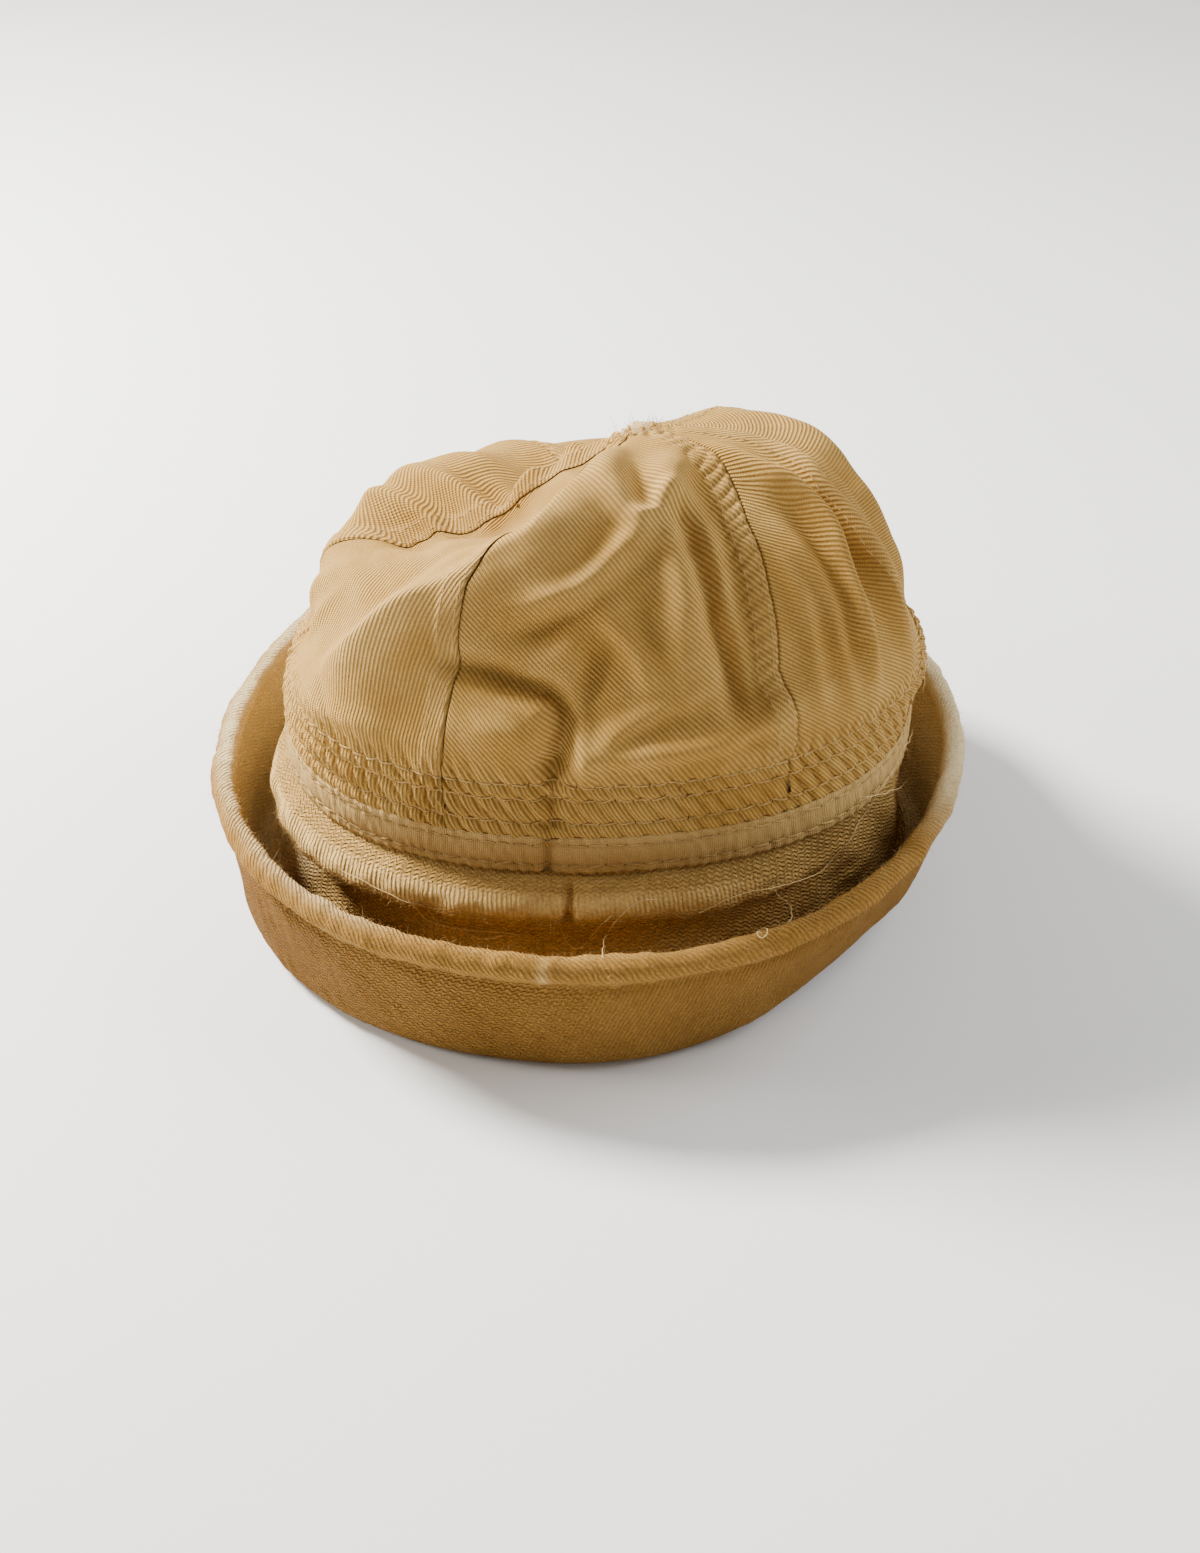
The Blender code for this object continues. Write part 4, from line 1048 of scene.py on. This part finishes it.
def brim_material():
    """Coarse cotton brim cloth: zigzag rows, with slanted strokes on the rim's cuff and ribs elsewhere."""
    s = Shader("brim_cloth")
    vector, across, along = s.cloth()
    place = s.place()
    wobble = s.times(s.noise(vector, 0.16, 3.0), 9.0)
    ripple = s.times(s.noise(vector, 0.45, 3.0, 0.6), 5.0)
    swing = s.math("SINE", s.math("MULTIPLY_ADD", across, 2.0 * math.pi / 2.5, wobble))
    rows = line_wave(s, across, along, 0.0, 1.40, s.math("MULTIPLY_ADD", swing, 1.5, ripple))
    ribs = line_wave(s, across, along, 98.0, 1.36, s.times(s.noise(vector, 0.20, 3.0), 7.0))
    strokes = line_wave(s, across, along, 138.0, 1.16, s.times(s.noise(vector, 0.16, 3.0), 11.0))
    relief = s.mix(s.value("ribs"), rows, s.math("MULTIPLY_ADD", ribs, 0.78, 0.16))
    relief = s.mix(s.value("slant"), relief, s.math("MULTIPLY_ADD", strokes, 0.68, 0.22))
    relief = s.mix(s.times(s.value("felt_and_painted_light"), 0.6, clamp=True), relief, s.noise(vector, 0.9, 3.0, 0.7))
    grain = s.noise(vector, 1.9, 3.0, 0.7)
    height = s.math("MULTIPLY_ADD", grain, 0.9, relief)
    colour = s.mix(s.ramp(stains(s, place), 0.36, 0.64), BRIM_MID, BRIM_LIGHT)
    low = s.times(s.math("SUBTRACT", 1.0, relief), 0.66)
    colour = s.mix(low, colour, BRIM_DARK)
    # Darker outer face and cuff (grime and painted shade), and painted shade under the cuff's edge and in the
    # notch
    colour = s.mix(s.value("shade_and_dirt"), colour, s.mix(1.0, colour, BRIM_GRIME_AND_SHADE, "MULTIPLY"))
    # Paler where worn, and painted light on the inner wall, the ridge's crest and the rim's top
    wear_and_painted_light = s.times(s.value("wear_and_painted_light"), s.ramp(s.noise(vector, 0.5, 4.0, 0.7), 0.25, 0.65, 0.45, 1.0))
    colour = s.mix(wear_and_painted_light, colour, RIM_WEAR_AND_PAINTED_LIGHT)
    # Pale felt, partly painted light in shaded hollows
    colour = s.mix(s.times(s.value("felt_and_painted_light"), 0.95), colour, BRIM_FELT_AND_PAINTED_LIGHT)
    speck = s.ramp(s.noise(vector, 1.1, 3.0, 0.7), 0.30, 0.70, 0.86, 1.12)
    colour = s.mix(1.0, colour, speck, "MULTIPLY")
    return s.finish(colour, s.ramp(grain, 0.3, 0.7, 0.88, 0.99), height, 0.00085)


def thread_material(name, colour, dark):
    """Twisted cotton thread."""
    s = Shader(name)
    place = s.place()
    tone = s.noise(place, 900.0, 2.0, 0.6)
    broad = s.noise(place, 40.0, 2.0, 0.6)
    shade = s.math("MULTIPLY_ADD", tone, 0.6, s.times(broad, 0.4))
    mixed = s.mix(s.ramp(shade, 0.35, 0.65), dark, colour)
    return s.finish(mixed, s.ramp(tone, 0.3, 0.7, 0.82, 0.96), tone, 0.00008)


def inside_material():
    """Reverse of the twill, seen inside the cap."""
    s = Shader("crown_inside_twill")
    place = s.place()
    grain = s.noise(place, 1500.0, 2.0, 0.7)
    colour = s.mix(s.ramp(stains(s, place), 0.36, 0.64), *INSIDE_COLOURS)
    return s.finish(colour, s.ramp(grain, 0.3, 0.7, 0.88, 0.98), grain, 0.00015)


# Pieces

def atlas(rows, columns):
    """Bake map of a grid: row and column brought to 0 to 1, with a pad."""
    ends = BAKE_PAD, 1.0 - BAKE_PAD
    row, column = np.meshgrid(np.linspace(*ends, rows), np.linspace(*ends, columns), indexing="ij")
    return np.stack([column, row], -1).reshape(-1, 2)


def cloth_climb(climb):
    """Climb along the cloth's pattern, shortened near the band so that the twill lines steepen there."""
    steps = np.linspace(0.0, GORE_LENGTH, PROFILE_STEPS)
    stretch = BAND_STRETCH + (1.0 - BAND_STRETCH) * smooth(steps, BAND_TOP, BAND_STRETCH_END)
    stretch[steps < BAND_TOP] = 1.0
    return np.interp(climb, steps, running(0.5 * (stretch[1:] + stretch[:-1]) * steps[1]))


def make_crown():
    """Six gores of fine cloth; returns their grids by name."""
    grids = {}
    for name, near_seam, far_seam, slant in GORES:
        front = name in FRONT_GORES
        gore = gore_grid(near_seam, far_seam, FRONT_COLUMNS if front else BACK_COLUMNS)
        points = gore["points"] - MIDDLE
        rows, columns = points.shape[:2]
        climb = gore["climb"]
        cloth = np.stack([gore["across"], cloth_climb(climb)], -1).reshape(-1, 2) * 1000.0
        # Darker in the seams' grooves (painted shade, with some dirt) and just below each stitch row of the
        # band (painted shadow)
        groove = bell(gore["to_near"], 0.0, 0.00030) + bell(gore["to_far"], 0.0, 0.00040)
        groove *= 0.35 + 0.65 * smooth(climb, BAND_TOP - 0.008, BAND_TOP + 0.002)
        strip = gore["above"] * (1.0 - smooth(gore["to_far"], LAP_WIDTH - 0.001, LAP_WIDTH))
        # Fold crests are paler: wear and painted highlight
        crest = smooth(gore["rise"], 0.004, 0.013)
        shade_and_dirt = (0.45 if "front_left" in (near_seam, far_seam) else 0.65) * groove
        for row in BAND_ROWS:
            shade_and_dirt += 0.26 * bell(climb - 0.5 * TAPE_WIDTH - row, -0.0003, 0.0005)
        band = 1.0 - smooth(climb, BAND_TOP - 0.0003, BAND_TOP + 0.0003)
        band_slant = BAND_SLANT_LEFT if name == "crown_gore_front_left" else BAND_SLANT
        piece = make_mesh(
            name + "_cloth", points.reshape(-1, 3), grid_faces(rows, columns),
            twill_material(name + "_twill", slant, band_slant), cloth, atlas(rows, columns),
            {"wear_and_painted_light": 0.10 * crest + 0.05 * strip, "shade_and_dirt": shade_and_dirt, "band": band})
        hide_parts(name)
        gore["points"] = points
        gore["normals"] = grid_normals(points)
        grids[name] = gore
    return grids


def make_crown_inside(grids):
    """Inner face of the crown, a wall's thickness inside the gores, closed at the tip."""
    parts = []
    for gore in grids.values():
        rows, columns = gore["climb"].shape
        row = np.unique(np.append(np.arange(0, rows, 3), rows - 1))
        column = np.unique(np.append(np.arange(0, columns, 3), columns - 1))
        inner = gore["points"] - gore["normals"] * INSIDE_OFFSET
        inner = inner[row][:, column]
        parts.append((inner.reshape(-1, 3), grid_faces(len(row), len(column))[:, ::-1]))
    tip = np.mean([gore["points"][-1].mean(0) for gore in grids.values()], axis=0)
    spin = np.radians(np.arange(0.0, 360.0, 15.0))
    rings = [np.stack([reach * np.cos(spin), reach * np.sin(spin), spin * 0.0 + drop], -1)
             for reach, drop in ((0.0040, -0.0007), (0.0024, 0.0004), (0.0002, 0.0007))]
    parts.append(((tip + np.array(rings)).reshape(-1, 3), grid_faces(len(rings), len(spin), closed=True)))
    points, faces = join(parts)
    piece = make_mesh("crown_inside", points, faces, inside_material())


def make_ring_cloth(name, section, steps, material, turns, shades, shear=0.0, detail=None):
    """A ring of cloth lofted from a section, with its cloth map along the ring and down the section.

    The lower half of its cloth map can be sheared, so that upright ribs lean there.
    """
    ring = loft(turns, refine(section, steps))
    closed = np.concatenate([ring[-1:], ring, ring[:1]])
    along = closed[2:] - closed[:-2]
    down = np.gradient(ring, axis=1)
    normal = unit(np.cross(down, along))
    fall = run_along(ring)
    arc = np.broadcast_to(run_along(ring[:, ring.shape[1] // 2])[:, None], fall.shape)
    if detail is not None:
        ring = ring + normal * detail(ring, arc, fall, turns)[..., None]
    points = ring - MIDDLE
    # rows run down the section and columns around the ring, with the first column repeated
    grid = np.concatenate([points, points[:1]]).transpose(1, 0, 2)
    arc_closed = np.concatenate([arc, arc[-1:] + (arc[1:2] - arc[:1])]).T
    fall_closed = np.concatenate([fall, fall[:1]]).T
    rows, columns = grid.shape[:2]
    leaning = arc_closed + shear * np.maximum(fall_closed - 0.5 * fall_closed[-1:], 0.0)
    cloth = np.stack([leaning, fall_closed], -1).reshape(-1, 2) * 1000.0
    values = shades(arc_closed, fall_closed, np.append(turns, turns[0] + 360.0))
    faces = grid_faces(rows, columns)[:, ::-1]
    piece = make_mesh(name, grid.reshape(-1, 3), faces, material, cloth, atlas(rows, columns), values)
    return piece, points, normal, fall


def make_tape():
    """The binding tape with puckered edges and its two stitch rows."""
    low = TAPE_LOW + ring_frame(RING_TURNS)[-1]
    high = low + TAPE_WIDTH
    inner = np.full(RING_COLUMNS, -TAPE_THICKNESS)
    outer = np.zeros(RING_COLUMNS)
    section = [(inner, high - TAPE_EDGE), (inner * 0.5, high), (outer, high - TAPE_EDGE)]
    section += [(outer, high + (low - high) * share) for share in (0.25, 0.5, 0.75)]
    section += [(outer, low + TAPE_EDGE), (inner * 0.5, low), (inner, low + TAPE_EDGE)]

    def detail(ring, arc, fall, turn):
        down = fall / fall[:, -1:]
        rows = sum(bell(down, row, 0.05) for row in TAPE_ROWS)
        ripple = np.sin(2.0 * math.pi * (arc - 0.3 * fall) / 0.0044 + 2.2 * waves(ring, 0.02, 21))
        ripple = ripple + 0.5 * np.sin(2.0 * math.pi * arc / 0.0027 + 2.0 * waves(ring, 0.015, 23))
        edge = np.clip(np.abs(down - 0.5) * 2.0, 0.0, 1.0)
        bulge = 0.00024 * ripple * (0.5 + 0.5 * edge) - 0.00042 * rows
        crease = -0.0012 * bell(turn, CREASE_TURN, 1.1)[:, None]
        return bulge + crease + 0.00016 * waves(ring, 0.016, 22)

    def shades(arc, fall, turn):
        down = fall / fall[-1:]
        rows = sum(bell(down, row, 0.035) for row in TAPE_ROWS)
        edge = smooth(np.abs(down - 0.5), 0.36, 0.46)
        crease = bell(turn, CREASE_TURN, 0.7)[None, :]
        # Darker along both stitch rows and in the crease: painted shade; paler at both edges from wear
        return {"shade_and_dirt": 0.42 * rows + 0.5 * crease, "wear_and_painted_light": 0.20 * edge}

    piece, points, normal, _ = make_ring_cloth(
        "band_tape_cloth", section, 20, tape_material(), RING_TURNS, shades, detail=detail)
    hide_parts("band_tape")
    rows, holes = [], []
    for share, seed in zip(TAPE_ROWS, (31, 32)):
        index = int(round(share * (points.shape[1] - 1)))
        line = np.concatenate([points[:, index], points[:1, index]])
        ways = np.concatenate([normal[:, index], normal[:1, index]])
        line = line + np.array([0.0, 0.0, 0.00035]) * waves(line, 0.010, seed)[:, None]
        rows.append(stitches(line, ways, TAPE_STITCH, seed=seed, **ROW_THREAD))
        holes.append(stitch_hole_shade(line, ways, TAPE_STITCH))
    return rows, holes


def cuff_edge(arc):
    """Ragged lower end of the rim's cuff, as a share of the outer wall's section."""
    return CUFF_END + 0.02 * waves(np.stack([arc, arc * 0.0, arc * 0.0], -1), 0.006, 55)


def make_brim():
    """The brim: ridged inner wall, outer wall with its rolled rim, and the head side."""
    brim = brim_values(RING_TURNS)
    cloth = brim_material()

    def wall_detail(ring, arc, fall, turn):
        on_ridge = bell(fall, 0.016, 0.006) * around(4, turn)[:, None]
        rib = np.sin(2.0 * math.pi * arc / 0.0016 + 2.0 * waves(ring, 0.012, 41))
        notch = -0.0030 * bell(turn, NOTCH_TURN, 0.9)[:, None] * smooth(fall, 0.006, 0.016)
        notch *= 1.0 - smooth(fall, 0.022, 0.030)
        lumps = 0.0006 * waves(ring, 0.022, 42) + 0.0003 * waves(ring, 0.008, 43)
        return on_ridge * 0.00012 * rib + (notch + lumps) * smooth(fall, 0.004, 0.010)

    def wall_shades(arc, fall, turn):
        ridge = around(4, turn)[None, :]
        crest = window(fall, 0.0125, 0.0155, 0.020, 0.0225) * ridge
        # Pale felt in the deep trough at the left, also painted light that lifts its shade
        felt_and_painted_light = 0.8 * smooth(fall, 0.020, 0.026) * (1.0 - smooth(turn, -80.0, -55.0))[None, :]
        notch = bell(turn, NOTCH_TURN, 0.6)[None, :] * window(fall, 0.008, 0.014, 0.022, 0.028)
        under = smooth(fall, 0.0205, 0.024) * ridge
        # Painted shade in the notch, and painted light over the whole inner wall, strongest on the ridge's
        # crest, with a little wear
        return {"felt_and_painted_light": felt_and_painted_light, "slant": np.zeros_like(fall), "ribs": crest, "shade_and_dirt": 0.6 * notch,
                "wear_and_painted_light": 0.36 + 0.44 * crest + 0.05 * under}

    def turn_up_detail(ring, arc, fall, turn):
        share = fall / fall[:, -1:]
        outside = smooth(share, 0.40, 0.50)
        lumps = (0.0002 + 0.0003 * outside) * waves(ring, 0.030, 52) + 0.00020 * waves(ring, 0.007, 53)
        edge = cuff_edge(arc)
        cuff = 0.00038 * (1.0 - smooth(share, edge - 0.012, edge)) * outside + 0.0005 * outside
        roll = 0.0003 * bell(share, 0.46, 0.06) * waves(ring, 0.011, 54)
        return (np.maximum(lumps, -LUMP_LIMIT) + cuff + roll) * (1.0 - smooth(share, 0.86, 0.93))

    def turn_up_shades(arc, fall, turn):
        share = fall / fall[-1:]
        edge = cuff_edge(arc)
        cuff = window(share, 0.36, 0.43, edge - 0.01, edge)
        # Painted shadow in a thin line just below the cuff's ragged edge
        line = bell(share - edge, 0.004, 0.008)
        below = smooth(share, edge - 0.01, edge)
        ribbed = below * window(turn, -25.0, 15.0, 150.0, 175.0)[None, :]
        patch = bell(turn, PATCH_TURN, 0.8)[None, :] * bell(share, 0.52, 0.05)
        pale = window(turn, -115.0, -85.0, -40.0, -24.0) + 0.7 * window(turn, 55.0, 80.0, 120.0, 140.0)
        top = bell(share, 0.445, 0.022)
        # Pale felt and painted light on the inside of the outer wall at the sides and back, on the roll at
        # the right, and along the rim's top at the left and right
        side = np.clip(1.0 - smooth(turn, -95.0, -62.0) + smooth(turn, 62.0, 96.0), 0.0, 1.0)
        right = window(turn, 58.0, 88.0, 140.0, 170.0)
        felt_and_painted_light = 0.9 * (1.0 - smooth(share, 0.44, 0.50)) * side[None, :]
        felt_and_painted_light = felt_and_painted_light + 0.8 * window(share, 0.36, 0.42, 0.50, 0.58) * right[None, :]
        felt_and_painted_light = np.clip(felt_and_painted_light + 0.40 * top * pale[None, :], 0.0, 1.0)
        # The outer face below the cuff is darkened, fully at the left and to 0.68 elsewhere, and the cuff in
        # part: grime and painted shade
        grime_and_shade = 0.68 + 0.32 * (1.0 - smooth(turn, -70.0, -25.0))
        # The rim's top is paler all round (wear and painted highlight), and a worn patch sits at PATCH_TURN
        return {"felt_and_painted_light": felt_and_painted_light, "slant": cuff, "ribs": 0.85 * ribbed,
                "shade_and_dirt": 0.16 * line + 0.48 * cuff + grime_and_shade[None, :] * below,
                "wear_and_painted_light": 0.10 * top + 0.6 * patch}

    def head_shades(arc, fall, turn):
        return dict.fromkeys(("felt_and_painted_light", "slant", "ribs", "shade_and_dirt", "wear_and_painted_light"), np.zeros_like(fall))

    wall, *wall_ring = make_ring_cloth(
        "brim_inner_wall", inner_wall_section(brim), 54, cloth, RING_TURNS, wall_shades, detail=wall_detail)
    turn_up, *up_ring = make_ring_cloth(
        "brim_turn_up", outer_wall_section(brim), 74, cloth, RING_TURNS, turn_up_shades, 0.55, turn_up_detail)
    head_turns = RING_TURNS[::4]
    head = make_ring_cloth(
        "brim_head_side", head_side_section(brim_values(head_turns)), 24, cloth, head_turns, head_shades)[0]
    for piece in (wall, turn_up, head):
        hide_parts("brim")
    return wall_ring, up_ring


def band_stitches(grids):
    """Three stitch rows through the crown's band, and two along each felled strip."""
    rows, holes = [], []
    seed = 60
    for gore in grids.values():
        points, normals, to_far = gore["points"], gore["normals"], gore["to_far"]
        climbs = gore["climb"][:, 0]
        for height in BAND_ROWS:
            spot = np.array([np.interp(0.5 * TAPE_WIDTH + height, climbs, np.arange(len(climbs)))])
            line, ways = along_line(points, spot)[0], along_line(normals, spot)[0]
            rows.append(stitches(line, ways, BAND_STITCH, seed=seed, **ROW_THREAD))
            holes.append(stitch_hole_shade(line, ways, BAND_STITCH))
            seed += 1
        start = int(np.searchsorted(climbs, BAND_TOP + 0.001))
        stop = int(0.96 * len(climbs))
        for away in LAP_ROWS:
            line, ways = [], []
            for row in range(start, stop):
                if to_far[row, 0] < 0.012:
                    break
                spot = np.array([np.interp(-away, -to_far[row], np.arange(points.shape[1]))])
                line.append(along_line(points[row], spot)[0])
                ways.append(along_line(normals[row], spot)[0])
            rows.append(stitches(np.array(line), np.array(ways), seed=seed, **LAP_THREAD))
            seed += 1
    return rows, holes


def ring_fibres(ring, marks, columns, spots, *looks, **bent):
    """Fibres rooted just under a ring's cloth, at spots among the marks down its section."""
    points, normals, _ = ring
    steps = np.array([np.searchsorted(marks[column], spot) for column, spot in zip(columns, spots)])
    ways = normals[columns, steps]
    return fibres(points[columns, steps] - ways * 0.0002, ways, *looks, **bent)


def make_fuzz(wall, up, grids):
    """Frayed fibres on the rim's roll, along the ridge's raw edge and near the gores' tips."""
    dice = np.random.default_rng(71)
    count = 6400
    columns = dice.integers(0, RING_COLUMNS, count)
    spots = np.clip(dice.normal(0.450, 0.035, count), 0.36, CUFF_END + 0.02)
    lengths = dice.gamma(2.2, 0.00030, count).clip(0.0003, 0.0030)
    parts = [ring_fibres(up, up[2] / up[2][:, -1:], columns, spots, lengths, 0.000055, 72, curl=0.9)]
    count = 1900
    ridge = around(4, RING_TURNS)
    columns = dice.choice(RING_COLUMNS, count, p=ridge / ridge.sum())
    spots = dice.normal(0.0215, 0.0011, count)
    lengths = dice.gamma(2.0, 0.00038, count).clip(0.0003, 0.0026)
    hang = np.array([0.0, 0.0, -0.5])
    parts.append(ring_fibres(wall, wall[2], columns, spots, lengths, 0.00006, 73, curl=0.8, lean=hang))
    for seed, gore in enumerate(grids.values()):
        shares = gore["share"][:, 0]
        first = int(np.searchsorted(shares, 0.925))
        count = 60
        row = dice.integers(first, len(shares) - 2, count)
        column = dice.choice((0, 1, 2, 3, -4, -3, -2, -1), count)
        lengths = dice.gamma(2.0, 0.0007, count).clip(0.0005, 0.0035)
        roots, ways = gore["points"][row, column], gore["normals"][row, column]
        parts.append(fibres(roots, ways, lengths, 0.00009, 80 + seed, curl=1.2))
    piece = make_mesh("frayed_edges", *join(parts), thread_material("fuzz_cotton", *FUZZ_COLOURS))


def photo_camera():
    """Place of the photo's camera and its directions to the right, up and ahead."""
    rise = math.radians(CAMERA_RISE)
    ahead = Vector((0.0, math.cos(rise), -math.sin(rise)))
    up = Vector((0.0, math.sin(rise), math.cos(rise)))
    aim = Vector((-MIDDLE[0], -MIDDLE[1], CAMERA_AIM))
    return aim - ahead * CAMERA_AWAY, Vector((1.0, 0.0, 0.0)), up, ahead


def lay_threads():
    """Loose threads, laid on the cap where the photo shows them."""
    bpy.context.view_layer.update()
    seen = bpy.context.evaluated_depsgraph_get()
    place, right, up, ahead = photo_camera()
    parts = []
    for index, (radius, lift, spots) in enumerate(LOOSE_THREADS):
        marks = np.array(spots, float)
        run = run_along(marks)
        count = max(int(run[-1] / 3.0), 6)
        even = np.linspace(0.0, run[-1], count)
        line = np.stack([np.interp(even, run, marks[:, axis]) for axis in range(2)], -1)
        for _ in range(3):
            line[1:-1] = 0.25 * line[:-2] + 0.5 * line[1:-1] + 0.25 * line[2:]
        rays, depths = [], []
        for x, y in line:
            aside = right * (x - PHOTO_MIDDLE[0]) - up * (y - PHOTO_MIDDLE[1])
            ray = ahead * PIXELS_PER_METRE * CAMERA_AWAY + aside
            ray.normalize()
            hit, spot, _, _, _, _ = bpy.context.scene.ray_cast(seen, place, ray)
            rays.append(ray)
            depths.append((spot - place).length if hit else 0.60)
        depths = np.array(depths)
        nearest = np.min([np.roll(np.pad(depths, 4, "edge"), shift)[4:-4] for shift in range(-3, 4)], 0)
        eased = np.convolve(np.pad(nearest, 3, "edge"), np.ones(7) / 7.0, "valid")
        depths = np.minimum(eased, depths) - lift
        path = np.array([place + ray * depth for ray, depth in zip(rays, depths)])
        path += 0.0003 * np.stack([waves(path, 0.012, 90 + 3 * index + axis) for axis in range(3)], -1)
        parts.append(tubes(path[None], np.full((1, count), radius), 6))
    piece = make_mesh("loose_threads", *join(parts), thread_material("loose_cotton", *LOOSE_COLOURS))


def make_stage():
    """Pale floor, soft light from the upper left and behind, and the photo's camera."""
    scene = bpy.context.scene
    mesh = bpy.data.meshes.new("floor")
    corners = [(x * FLOOR_SIZE, y * FLOOR_SIZE, 0.0) for x, y in ((-1, -1), (1, -1), (1, 1), (-1, 1))]
    mesh.from_pydata(corners, [], [(0, 1, 2, 3)])
    floor = bpy.data.objects.new("floor", mesh)
    scene.collection.objects.link(floor)
    pale = Shader("floor_pale")
    pale.out.inputs["Base Color"].default_value = FLOOR_COLOUR
    pale.out.inputs["Roughness"].default_value = 0.9
    mesh.materials.append(pale.material)
    world = bpy.data.worlds.new("studio")
    world.use_nodes = True
    sky = world.node_tree.nodes["Background"].inputs
    sky[0].default_value = SKY_COLOUR
    sky[1].default_value = SKY_STRENGTH
    scene.world = world
    for name, place, size, power, tint in LAMPS:
        light = bpy.data.lights.new(name, "AREA")
        light.shape = "DISK"
        light.size = size
        light.energy = power
        light.color = tint
        lamp = bpy.data.objects.new(name, light)
        lamp.location = place
        lamp.rotation_euler = (Vector(place) - LAMP_AIM).to_track_quat("Z", "Y").to_euler()
        scene.collection.objects.link(lamp)
    lens = bpy.data.cameras.new("photo_view")
    camera = bpy.data.objects.new("photo_view", lens)
    camera.location = photo_camera()[0]
    camera.rotation_euler = (math.radians(90.0 - CAMERA_RISE), 0.0, 0.0)
    lens.sensor_width = 36.0
    lens.lens = LENS
    lens.shift_x, lens.shift_y = LENS_SHIFT
    scene.collection.objects.link(camera)
    scene.camera = camera


def main():
    """Dress the frame."""
    make_stage()
    grids = make_crown()
    make_crown_inside(grids)
    tape_rows, tape_holes = make_tape()
    wall, up = make_brim()
    thread = thread_material("stitch_thread", *STITCH_COLOURS)
    rows, holes = band_stitches(grids)
    crown = make_mesh("crown_stitches", *join(rows), thread)
    tape = make_mesh("tape_stitches", *join(tape_rows), thread)
    # Painted shade in the needle holes
    shade = thread_material("needle_hole_shade", *HOLE_SHADE_COLOURS)
    needle = make_mesh("needle_hole_shade", *join(holes + tape_holes), shade)
    lay_threads()
    make_fuzz(wall, up, grids)


main()
